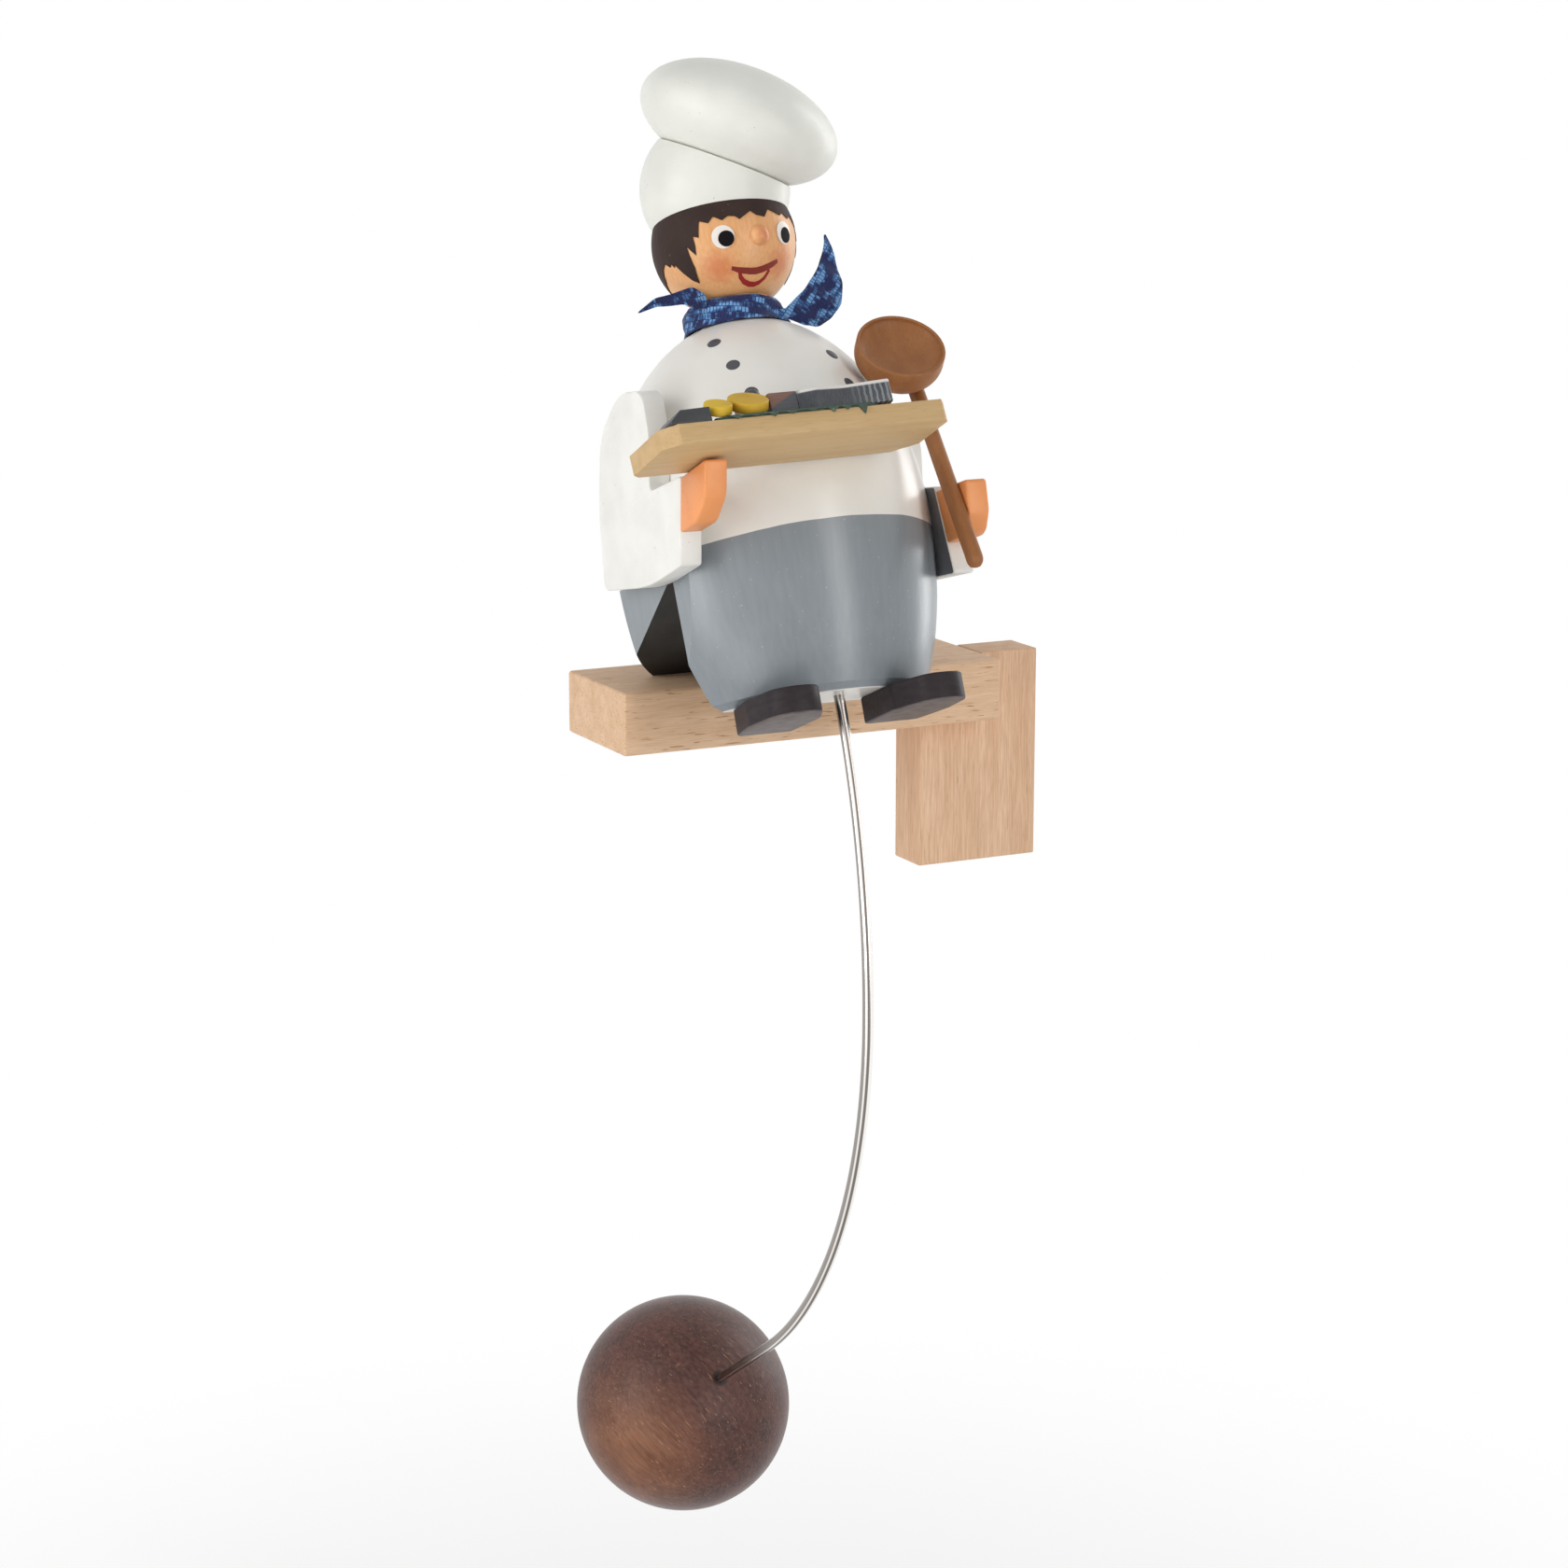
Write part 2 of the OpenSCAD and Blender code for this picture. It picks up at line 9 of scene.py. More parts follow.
# %% Load the frame
import json
import math

import bmesh
import bpy
from mathutils import Matrix, Vector


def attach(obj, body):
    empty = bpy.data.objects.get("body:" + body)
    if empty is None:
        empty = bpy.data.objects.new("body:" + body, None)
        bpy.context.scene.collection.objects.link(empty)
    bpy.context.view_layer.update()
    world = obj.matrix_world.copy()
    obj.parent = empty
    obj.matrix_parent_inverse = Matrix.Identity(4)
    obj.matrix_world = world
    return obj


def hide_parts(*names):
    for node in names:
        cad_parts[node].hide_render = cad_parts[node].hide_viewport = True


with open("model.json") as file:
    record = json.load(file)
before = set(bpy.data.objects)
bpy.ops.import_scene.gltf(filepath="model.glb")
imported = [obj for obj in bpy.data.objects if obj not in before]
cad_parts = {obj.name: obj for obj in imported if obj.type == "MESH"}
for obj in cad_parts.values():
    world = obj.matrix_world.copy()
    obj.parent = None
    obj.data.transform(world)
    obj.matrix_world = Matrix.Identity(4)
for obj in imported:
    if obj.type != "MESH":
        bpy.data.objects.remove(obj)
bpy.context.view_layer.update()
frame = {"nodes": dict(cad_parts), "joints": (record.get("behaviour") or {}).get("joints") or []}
MM = 0.001
print("solids:", len(frame["nodes"]))

# %% [markdown]
# The whole figure leans back. Its pieces could be drawn leaning, but they are far easier
# to describe upright, on the torso's own axis: x to the figure's left, y to its back, z up
# from the sole. The matrix FIGURE turns that upright world of millimetres into the
# balanced pose about the rocking edge. FROM_EDGE only shifts and scales, for what is
# measured from that edge: the perch, the rod and the ball.

# %% The frames in which the pieces are drawn
LEAN = 21.7
EDGE = Vector((0, 24.5, 16.4))
HINGE = Vector(frame["joints"][0]["pos_m"])
FROM_EDGE = Matrix.Translation(HINGE) @ Matrix.Scale(MM, 4)
FIGURE = FROM_EDGE @ Matrix.Rotation(math.radians(-LEAN), 4, "X") @ Matrix.Translation(-EDGE)
print("rocking edge at", tuple(round(v, 5) for v in HINGE))


def turned(x=0.0, y=0.0, z=0.0):
    """Turns about x first, then y, then z, in degrees."""
    return (Matrix.Rotation(math.radians(z), 4, "Z") @ Matrix.Rotation(math.radians(y), 4, "Y")
            @ Matrix.Rotation(math.radians(x), 4, "X"))


def moved(x, y, z):
    return Matrix.Translation((x, y, z))


TRAY = FIGURE @ moved(-50.2, -59.3, 51.2) @ turned(-4, -2)

# %% [markdown]
# A camera could be placed by eye. Here its place, its tilt and its long lens were worked
# out from the straight edges of the beam and the post in the photograph, so that the
# render can be laid over it.

# %% Camera
cam_data = bpy.data.cameras.new("camera")
cam_data.sensor_width = 36.0
cam_data.sensor_height = 36.0
cam_data.sensor_fit = "HORIZONTAL"
cam_data.lens = 83.57
cam_data.clip_start = 0.01
cam_data.clip_end = 20.0
camera = bpy.data.objects.new("camera", cam_data)
camera.location = Vector((-433.3, -771.5, 212.02)) * MM
camera.rotation_euler = (math.radians(90 - 12.391), 0, math.radians(-26.404))
bpy.context.collection.objects.link(camera)
bpy.context.scene.camera = camera
print("camera to rocking edge, metres:", round((camera.location - HINGE).length, 3))

# %% [markdown]
# ## How the pieces are made
# Nearly every piece of this toy is turned on a lathe or sawn from a board. A scaled sphere
# would come close to the turned ones, but an outline spun about its axis also gives the
# flats and rims that a lathe leaves. What meets on the axis is merged, so the pole closes.


# %% Lathe
def lathe(profile, steps=96):
    """Spins an outline of (radius, height) about z."""
    bm = bmesh.new()
    verts = [bm.verts.new((r, 0, z)) for r, z in profile]
    edges = [bm.edges.new(pair) for pair in zip(verts, verts[1:])]
    bmesh.ops.spin(bm, geom=verts + edges, cent=(0, 0, 0), axis=(0, 0, 1),
                   angle=2 * math.pi, steps=steps, use_merge=True)
    bmesh.ops.remove_doubles(bm, verts=bm.verts, dist=1e-4)
    return bm


def arc(cx, cy, rx, ry, start, stop, steps):
    """Points of an ellipse's arc, angles in degrees."""
    turn = [math.radians(start + (stop - start) * i / steps) for i in range(steps + 1)]
    return [(cx + rx * math.cos(a), cy + ry * math.sin(a)) for a in turn]


# %% [markdown]
# A board is an outline with rounded corners, extruded to its thickness. A beveled cube
# can't follow such outlines. Its edges are then broken all round by a narrow bevel, as
# sandpaper and paint do. Boards are drawn lying on z = 0. SIDEWAYS stands one up with its
# outline in (y, z), and UPRIGHT with its outline in (x, z) and its thickness to the front.


# %% Board
def outline(bm, corners):
    """One face with rounded corners: each corner is (x, y, radius)."""
    places = [Vector((x, y, 0)) for x, y, _ in corners]
    verts = [bm.verts.new(p) for p in places]
    bm.faces.new(verts)
    bm.normal_update()
    for i, (x, y, radius) in enumerate(corners):
        if radius:
            after = places[(i + 1) % len(places)] - places[i]
            half = (places[i - 1] - places[i]).angle(after) / 2
            bmesh.ops.bevel(bm, geom=[verts[i]], offset=radius / math.tan(half), segments=6,
                            profile=0.5, affect="VERTICES", material=-1)


def board(corners, thickness, eased=0.4):
    """A board sawn to an outline, its sharp edges eased by a radius."""
    bm = bmesh.new()
    outline(bm, corners)
    grown = bmesh.ops.extrude_face_region(bm, geom=bm.faces[:])
    top = [v for v in grown["geom"] if isinstance(v, bmesh.types.BMVert)]
    bmesh.ops.translate(bm, verts=top, vec=(0, 0, thickness))
    bmesh.ops.recalc_face_normals(bm, faces=bm.faces)
    sharp = [e for e in bm.edges
             if len(e.link_faces) == 2 and e.calc_face_angle() > math.radians(40)]
    bmesh.ops.bevel(bm, geom=sharp, offset=eased, segments=3, profile=0.5, affect="EDGES",
                    material=-1, clamp_overlap=False)
    return bm


SIDEWAYS = Matrix(((0, 0, 1, 0), (1, 0, 0, 0), (0, 1, 0, 0), (0, 0, 0, 1)))
UPRIGHT = turned(90)

# %% [markdown]
# A finished mesh is carried to its place by a matrix, while its object stays at the
# origin, unturned, as the plain solids are. The matrix moves the vertices alone, so the
# faces' normals are brought up to date before an operator turns them all outwards. With
# the old ones it would turn some pieces inside out.


# %% Piece
def into_scene(name, bm):
    mesh = bpy.data.meshes.new(name)
    bm.to_mesh(mesh)
    bm.free()
    obj = bpy.data.objects.new(name, mesh)
    bpy.context.collection.objects.link(obj)
    return obj


def piece(name, bm, place, *materials, body="figure", nodes=(), slot=None, sharp=32):
    """Edges that turn by more than sharp degrees stay crisp; the rest is shaded smooth."""
    bm.transform(place)
    bm.normal_update()
    bmesh.ops.recalc_face_normals(bm, faces=bm.faces)
    for face in bm.faces:
        face.smooth = True
    for edge in bm.edges:
        edge.smooth = edge.calc_face_angle(0) < math.radians(sharp)
    obj = into_scene(name, bm)
    for material in materials:
        obj.data.materials.append(material)
    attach(obj, body)
    if nodes:
        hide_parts(*nodes)
    print(name, len(obj.data.vertices), "vertices")
    return obj


# %% [markdown]
# ## Paints and woods
# Each finish is a small tree of nodes on Blender's standard shader. Colours are sRGB hex
# values, as a paint picker gives them, and linear() turns them into what the shader takes.
# One function adds any node: it fills the inputs that the node shows, in their order, and
# None leaves one as it is.


# %% Node helpers
def linear(code):
    parts = [int(code[i:i + 2], 16) / 255 for i in (1, 3, 5)]
    return [p / 12.92 if p <= 0.04045 else ((p + 0.055) / 1.055) ** 2.4 for p in parts] + [1.0]


def fill(tree, socket, value):
    """Links a node or one of its outputs, or sets a number, a vector or a hex colour."""
    if isinstance(value, bpy.types.Node):
        value = next(s for s in value.outputs if s.enabled)
    if isinstance(value, bpy.types.NodeSocket):
        tree.links.new(value, socket)
    else:
        socket.default_value = linear(value) if isinstance(value, str) else value


def add(tree, kind, *values, **settings):
    """Adds a node, sets it up, and fills its inputs."""
    node = tree.nodes.new("ShaderNode" + kind)
    for key, value in settings.items():
        setattr(node, key, value)
    for socket, value in zip([s for s in node.inputs if s.enabled], values):
        if value is not None:
            fill(tree, socket, value)
    return node


# %% [markdown]
# Every pattern reads Object coordinates, which stay with the piece when it moves. A Mapping
# node turns them into the millimetres of the piece's own frame, so a grain of half a
# millimetre is written as 0.5 and runs the way the wood was cut. UV maps would do too, but
# turned and sawn wood has its grain in the block, not on the surface.


# %% Finishes and patterns
def finish(name, place, rough, metallic=0.0, gloss=0.5):
    """A new material, its nodes, its shader, and the place in millimetres for patterns."""
    mat = bpy.data.materials.new(name)
    mat.use_nodes = True
    tree = mat.node_tree
    shader = tree.nodes["Principled BSDF"]
    shader.inputs["Roughness"].default_value = rough
    shader.inputs["Metallic"].default_value = metallic
    shader.inputs["Specular IOR Level"].default_value = gloss
    coords = add(tree, "TexCoord").outputs["Object"]
    where = add(tree, "Mapping", coords, place.translation, place.to_euler(),
                place.to_scale(), vector_type="TEXTURE")
    print("finish:", name)
    return mat, tree, shader, where


def pattern(tree, where, sizes, detail=3.0, low=0.0, high=1.0, least=0.0, most=1.0):
    """Noise of a real size along each axis. Its values from low to high become least to most."""
    sized = add(tree, "Mapping", where, None, None, [1 / s for s in sizes])
    cloud = add(tree, "TexNoise", sized, 1.0, detail)
    return add(tree, "MapRange", cloud, low, high, least, most)


def paint(tree, shader, colour, relief, depth):
    """Gives a finish its colour, and a relief whose real height is depth millimetres."""
    fill(tree, shader.inputs["Base Color"], colour)
    fill(tree, shader.inputs["Normal"], add(tree, "Bump", 1.0, depth * MM, None, relief))


# %% [markdown]
# Enamel paint, brushed on turned or sawn wood. It has a satin gloss, hides the grain's
# colour but not its relief, and holds a few specks of dust. Each colour could have a tree
# of its own, but one function makes them all, so the toy looks painted by one hand.


# %% Enamel paint
def enamel(name, colour, shade, place=FIGURE, rough=0.42, grain=(0.5, 0.5, 7.0), gloss=0.4):
    mat, tree, shader, where = finish(name, place, rough, gloss=gloss)
    cloudy = pattern(tree, where, (11, 11, 11), 3.0, 0.35, 0.7)
    tint = add(tree, "Mix", cloudy, colour, shade, data_type="RGBA")
    specks = pattern(tree, where, (0.9, 0.9, 0.9), 1.0, 0.76, 0.8, most=0.35)
    dusty = add(tree, "Mix", specks, tint, "#77706a", data_type="RGBA")
    raised = pattern(tree, where, grain, 2.0)
    uneven = pattern(tree, where, (1.3, 1.3, 1.3), 2.0, most=0.6)
    paint(tree, shader, dusty, add(tree, "Math", raised, uneven, operation="ADD"), 0.035)
    return mat


white_enamel = enamel("white_enamel", "#e6e6df", "#dfdfd8")
cuff_enamel = enamel("white_enamel_on_boards", "#edece7", "#e3e1db", grain=(0.5, 5.0, 0.5))
orange_enamel = enamel("orange_enamel", "#ef9f63", "#e69256", grain=(0.5, 5.0, 0.5))
lemon_enamel = enamel("lemon_enamel", "#dfbc30", "#c69c2a", TRAY, 0.5, (0.6, 0.6, 2.0))
olive_enamel = enamel("olive_enamel", "#3e3e45", "#303035", TRAY, 0.35)
# Grey painted shade for the left arm's inner face, where the torso shades it.
inner_face_shade = enamel("grey_painted_shade_on_the_inner_face", "#7e7f82", "#6b6c70", rough=0.5, gloss=0.2)
# Dark grey painted shade for the inside of the notch, where shade falls.
notch_shade = enamel("dark_grey_painted_shade_in_the_notch", "#484644", "#3b3a38", rough=0.6,
                      gloss=0.15)
eye_enamel = enamel("eye_white_enamel", "#efe9e3", "#eae1da", rough=0.3)
pupil_enamel = enamel("black_enamel", "#141113", "#1a1718", rough=0.6, gloss=0.05)
hair_enamel = enamel("dark_brown_enamel", "#3d2f2b", "#302522", rough=0.6,
                     grain=(1.2, 1.2, 5), gloss=0.12)
lip_enamel = enamel("dark_red_enamel", "#8c352d", "#7d302b", rough=0.35, gloss=0.2)
smile_enamel = enamel("red_enamel", "#9f2825", "#912627", rough=0.35, gloss=0.2)
button_enamel = enamel("grey_button_enamel", "#45444e", "#4f4f55", rough=0.35, gloss=0.25)

# %% [markdown]
# The torso wears three colours on one turned piece of wood: a white coat above a painted
# line, grey trousers below it, and a bare white sole. Three meshes would show a seam, so a
# mask of the height above the sole divides one. The line was drawn by hand: it runs a
# little aslant, sinks towards the sides, and a slow noise lets it waver by a tenth of a
# millimetre.

# %% Coat and trousers
COAT_LINE = 38.1
torso_enamel, tree, shader, where = finish("coat_and_trousers_enamel", FIGURE, 0.3)
parts = add(tree, "SeparateXYZ", where)
across, height = parts.outputs["X"], parts.outputs["Z"]
waver = pattern(tree, where, (9, 9, 9), 1.0, most=0.5)
aslant = add(tree, "Math", across, -0.022, waver, operation="MULTIPLY_ADD")
squared = add(tree, "Math", across, across, operation="MULTIPLY")
drawn = add(tree, "Math", squared, 0.0008, aslant, operation="MULTIPLY_ADD")
above = add(tree, "Math", height, drawn, operation="ADD")
is_coat = add(tree, "MapRange", above, COAT_LINE, COAT_LINE + 0.12)
is_sole = add(tree, "MapRange", height, 0.25, 0.15)
cloudy = pattern(tree, where, (14, 14, 14), 3.0, 0.35, 0.7)
coat = add(tree, "Mix", cloudy, "#eae8e2", "#e5e2db", data_type="RGBA")
brushed = pattern(tree, where, (1.2, 1.2, 14.0), 3.0, 0.3, 0.8, most=0.35)
trousers = add(tree, "Mix", brushed, "#848b90", "#6f777c", data_type="RGBA")
dust = pattern(tree, where, (0.7, 0.7, 0.7), 1.0, 0.74, 0.78, most=0.5)
trousers = add(tree, "Mix", dust, trousers, "#b9bcbd", data_type="RGBA")
dressed = add(tree, "Mix", is_coat, trousers, coat, data_type="RGBA")
dressed = add(tree, "Mix", is_sole, dressed, "#dedad3", data_type="RGBA")
raised = pattern(tree, where, (0.8, 0.8, 9.0), 2.0)
uneven = pattern(tree, where, (2.2, 2.2, 2.2), 2.0, most=0.7)
paint(tree, shader, dressed, add(tree, "Math", raised, uneven, operation="ADD"), 0.02)

# %% [markdown]
# The face is painted too, in a thin flesh colour through which the maple shows. The cheeks
# are dabbed on with an almost dry brush, so they fade out softly. An outline would be too
# crisp for that, so each is a distance from a place on the head, broken up by a noise. A
# third dab reddens the nose's left side.

# %% Flesh paint with rouged cheeks
HEAD_R = 17.0
HEAD = Vector((0, -1.2, 113.6))
DABS = ((-34, -33, 0, 7.9), (32, -31, 0, 7.9), (8, -11, 2.6, 6.3))


def on_head(azimuth, elevation, lift=0.0):
    """A place on the head: azimuth from the front towards the figure's left."""
    a, e = math.radians(azimuth), math.radians(elevation)
    outwards = Vector((math.sin(a) * math.cos(e), -math.cos(a) * math.cos(e), math.sin(e)))
    return HEAD + outwards * (HEAD_R + lift)


flesh_paint, tree, shader, where = finish("flesh_paint_on_maple", FIGURE, 0.4)
lines = pattern(tree, where, (0.5, 0.5, 6.0), 3.0, 0.3, 0.75)
flesh = add(tree, "Mix", lines, "#e4ac76", "#d89c64", data_type="RGBA")
streaky = pattern(tree, where, (1.5, 1.5, 1.5), most=4.0)
for azimuth, elevation, lift, reach in DABS:
    middle = on_head(azimuth, elevation, lift)
    away = add(tree, "VectorMath", where, middle, operation="DISTANCE")
    broken = add(tree, "Math", away, streaky, operation="ADD")
    dab = add(tree, "MapRange", broken, reach, 2.6, 0.0, 0.64, interpolation_type="SMOOTHSTEP")
    flesh = add(tree, "Mix", dab, flesh, "#c96638", data_type="RGBA")
paint(tree, shader, flesh, pattern(tree, where, (0.6, 0.6, 5.0), 2.0), 0.03)

# %% [markdown]
# The boots are dark all round, but their soles are worn to a brownish grey. From the
# camera the soles show, because the whole figure leans back. A second material could be
# put on the sole's faces, but the height is enough to tell it from the sides.

# %% Boot paint
FOOT_T = 6.2
boot_enamel, tree, shader, where = finish("black_boot_enamel", FIGURE, 0.5, gloss=0.15)
height = add(tree, "SeparateXYZ", where).outputs["Z"]
rubbed = pattern(tree, where, (3, 3, 1), 3.0, 0.3, 0.7)
upper = add(tree, "Mix", rubbed, "#292427", "#322b2e", data_type="RGBA")
sole = add(tree, "Mix", rubbed, "#6d6461", "#554c4a", data_type="RGBA")
is_sole = add(tree, "MapRange", height, 0.35 - FOOT_T, 0.2 - FOOT_T)
worn = add(tree, "Mix", is_sole, upper, sole, data_type="RGBA")
paint(tree, shader, worn, pattern(tree, where, (1.2, 1.2, 1.2), 2.0), 0.05)

# %% [markdown]
# Bare and stained woods. Beech has short dark flecks along its grain, lime and maple only
# fine lines. Wood could be drawn with rings of a Wave texture, but at this size the eye
# sees only streaks: a long noise gives the growth rings, a fine one the pores, and a third
# keeps only its peaks, which are the flecks.


# %% Woods
def wood(name, light, dark, fleck, place, along, rough=0.55, flecks=0.8, streaks=0.4):
    """along is the axis of the grain in the piece's frame: 0, 1 or 2."""
    mat, tree, shader, where = finish(name, place, rough, gloss=0.3)

    def grain(across, length):
        return [length if i == along else across for i in range(3)]

    rings = pattern(tree, where, grain(3.2, 60), 2.0, 0.3, 0.7, most=0.7)
    pores = pattern(tree, where, grain(0.28, 6.0), 3.0, 0.35, 0.75)
    marks = pattern(tree, where, grain(0.36, 4.2), 1.0, 0.65, 0.72, most=flecks)
    colour = add(tree, "Mix", rings, light, dark, data_type="RGBA")
    lines = add(tree, "Math", pores, streaks, operation="MULTIPLY")
    colour = add(tree, "Mix", lines, colour, fleck, data_type="RGBA")
    colour = add(tree, "Mix", marks, colour, fleck, data_type="RGBA")
    raised = add(tree, "Math", pores, 0.5, operation="MULTIPLY")
    paint(tree, shader, colour, add(tree, "Math", raised, marks, operation="SUBTRACT"), 0.04)
    return mat


beech_beam = wood("bare_beech_beam", "#e6c5a4", "#d0a882", "#a06f49", FROM_EDGE, 0,
                  streaks=0.3)
beech_post = wood("bare_beech_post", "#e8c4a3", "#d4a986", "#ad7f5b", FROM_EDGE, 2,
                  flecks=0.3, streaks=0.5)
tray_wood = wood("varnished_lime", "#d0b182", "#bf9d6c", "#a88153", TRAY, 0, 0.45, 0.35, 0.3)
spoon_wood = wood("stained_maple", "#9f6a3e", "#8c5831", "#744726", FIGURE, 2, 0.5, 0.4, 0.3)

# %% [markdown]
# The ball hangs at the end of the rod, so its place is worked out along the rod: down from
# the torso's sole through a wide bend, a short straight, a tighter bend the same way, and
# a long straight to the ball's middle. The ball is turned about that last straight.

# %% The rod's way to the ball
UPPER_TURN, LOWER_TURN = 23.6, 56.9
UPPER_R, LOWER_R = 179.0, 116.0
BOW, STRAIGHT = 2.0, 59.3
ROD_R, PLUG_R = 1.25, 6.0
TORSO_END = FROM_EDGE.inverted() @ FIGURE @ Vector((0, -20.7, 0))
bow_y = TORSO_END.y - UPPER_R * (1 - math.cos(math.radians(UPPER_TURN)))
bow_z = TORSO_END.z - UPPER_R * math.sin(math.radians(UPPER_TURN)) - BOW
low = math.radians(LOWER_TURN)
bend_end = Vector((0, bow_y + LOWER_R * (1 - math.cos(low)), bow_z - LOWER_R * math.sin(low)))
ball_at = bend_end + STRAIGHT * Vector((0, math.sin(low), -math.cos(low)))
BALL = FROM_EDGE @ Matrix.Translation(ball_at) @ turned(LOWER_TURN - 180)
print("ball's middle:", tuple(round(v, 4) for v in BALL.translation))

# %% [markdown]
# The ball is beech, stained as dark as walnut. Where the stain didn't take, thin bright
# flecks of grain stay. A lighter patch low on the figure's right, towards the front, is
# painted light from the lamps and the bright floor. The grain lies across the bore, as in a
# ball turned from a plank, so the pattern has its own frame, BLANK.

# %% Walnut stain
BLANK = BALL @ turned(0, 0, 58)
walnut_stain, tree, shader, where = finish("walnut_stain_on_beech", BLANK, 0.5, gloss=0.3)
shader.inputs["Sheen Weight"].default_value = 0.35
shader.inputs["Sheen Roughness"].default_value = 0.35
rings = pattern(tree, where, (14, 5, 5), 3.0, 0.35, 0.65)
lines = pattern(tree, where, (8.0, 0.5, 0.5), 3.0, 0.35, 0.75)
bright = pattern(tree, where, (6.0, 0.4, 0.4), 1.0, 0.68, 0.76, most=0.7)
mottled = pattern(tree, where, (1.6, 1.0, 1.0), 3.0, 0.35, 0.7, most=0.3)
# A lighter patch round this spot, low on the figure's right, is painted light from the lamps and
# the floor.
spot = BLANK.inverted() @ FROM_EDGE @ (ball_at + Vector((-22.6, -14.8, -4.9)))
away = add(tree, "VectorMath", where, spot, operation="DISTANCE")
lit_patch = add(tree, "MapRange", away, 27, 4, interpolation_type="SMOOTHSTEP")
dark = add(tree, "Mix", rings, "#3a201e", "#55302a", data_type="RGBA")
light = add(tree, "Mix", rings, "#77492f", "#906043", data_type="RGBA")
stain = add(tree, "Mix", lit_patch, dark, light, data_type="RGBA")
stain = add(tree, "Mix", mottled, stain, "#8a6a5c", data_type="RGBA")
streaks = add(tree, "Math", lines, 0.5, operation="MULTIPLY")
stain = add(tree, "Mix", streaks, stain, "#3a211a", data_type="RGBA")
stain = add(tree, "Mix", bright, stain, "#a98063", data_type="RGBA")

# %% [markdown]
# The rod goes into a hole, and the dark rim round it is painted shade inside the hole. On
# the far side a fine dark ring shows where a plug closes the hole of the hidden weight. Both
# are masks of the distance from the bore's axis. Real grooves so thin would need far
# smaller faces than the rest of the ball.

# %% The hole's rim and the plug's joint
bore = add(tree, "SeparateXYZ", where)
flat = add(tree, "CombineXYZ", bore.outputs["X"], bore.outputs["Y"])
off_axis = add(tree, "VectorMath", flat, operation="LENGTH")
rod_side = add(tree, "MapRange", bore.outputs["Z"], 0.5, -0.5)
plug_side = add(tree, "MapRange", bore.outputs["Z"], -0.5, 0.5)
# The dark rim round the rod is painted shade in the hole.
rim = add(tree, "MapRange", off_axis, 2.3, 1.7)
rim = add(tree, "Math", rim, rod_side, operation="MULTIPLY")
from_joint = add(tree, "Math", off_axis, PLUG_R, operation="SUBTRACT")
from_joint = add(tree, "Math", from_joint, operation="ABSOLUTE")
joint = add(tree, "MapRange", from_joint, 0.22, 0.08, 0.0, 0.7)
joint = add(tree, "Math", joint, plug_side, operation="MULTIPLY")
gap = add(tree, "Math", rim, joint, operation="MAXIMUM")
stain = add(tree, "Mix", gap, stain, "#231613", data_type="RGBA")
paint(tree, shader, stain, add(tree, "Math", lines, bright, operation="SUBTRACT"), 0.03)

# %% [markdown]
# The rod is drawn steel wire: a metal, so its colour is its reflection. Drawing leaves fine
# scratches that spread the highlight along the wire, which a noise in the roughness shows.
# The bright room leaves no dark reflections in it, so the dark line along the wire and its
# dark sides are painted reflections, set into the colour.

# %% Drawn steel
drawn_steel, tree, shader, where = finish("drawn_steel", FROM_EDGE, 0.2, 1.0)
side = add(tree, "SeparateXYZ", where).outputs["X"]
wander = pattern(tree, where, (30, 30, 30), 1.0, least=0.2, most=0.4)
from_line = add(tree, "Math", side, wander, operation="ADD")
from_line = add(tree, "Math", from_line, operation="ABSOLUTE")
# A dark line along the wire and dark sides: painted reflections in the colour.
line = add(tree, "MapRange", from_line, 0.42, 0.25, 0.0, 0.9)
from_middle = add(tree, "Math", side, operation="ABSOLUTE")
sides = add(tree, "MapRange", from_middle, 0.92, 1.0, 0.0, 0.75)
dark = add(tree, "Math", line, sides, operation="MAXIMUM")
wire = add(tree, "Mix", dark, "#f8f6f2", "#6b5f58", data_type="RGBA")
scratched = pattern(tree, where, (0.3, 6.0, 12.0))
paint(tree, shader, wire, scratched, 0.003)
dull = add(tree, "MapRange", scratched, 0.3, 0.7, 0.15, 0.26)
fill(tree, shader.inputs["Roughness"], dull)

# %% [markdown]
# The fish is sawn wood with a painted skin: dark grey, darker at the head, with a white edge
# round the top of the tail piece and pale bars near its end. Each could be a mesh of its
# own, but on the toy they are brush strokes, so place and height on the tray make masks.

# %% Fish skin
TRAY_T, LEAF_T, FISH_T = 4.7, 0.8, 5.2
BAR_GAP = 4.2
fish_skin, tree, shader, where = finish("fish_skin_enamel", TRAY, 0.4)
parts = add(tree, "SeparateXYZ", where)
along, up = parts.outputs["X"], parts.outputs["Z"]
scales = pattern(tree, where, (0.35, 0.35, 1.6), 2.0, 0.35, 0.75)
glint = add(tree, "Math", scales, 0.5, operation="MULTIPLY")
skin = add(tree, "Mix", glint, "#2f3237", "#50555b", data_type="RGBA")
sized = add(tree, "Mapping", where, None, None, [1 / BAR_GAP] * 3)
bars = add(tree, "TexWave", sized, 1.0, 1.5, 1.0, 3.0, bands_direction="X").outputs["Fac"]
bars = add(tree, "MapRange", bars, 0.55, 0.75, 0.0, 0.42)
at_tail = add(tree, "MapRange", along, 47.0, 52.0)
bars = add(tree, "Math", bars, at_tail, operation="MULTIPLY")
skin = add(tree, "Mix", bars, skin, "#aab0b4", data_type="RGBA")
at_head = add(tree, "MapRange", along, 24.0, 20.0)
skin = add(tree, "Mix", at_head, skin, "#26282c", data_type="RGBA")
fish_top = TRAY_T + LEAF_T + FISH_T
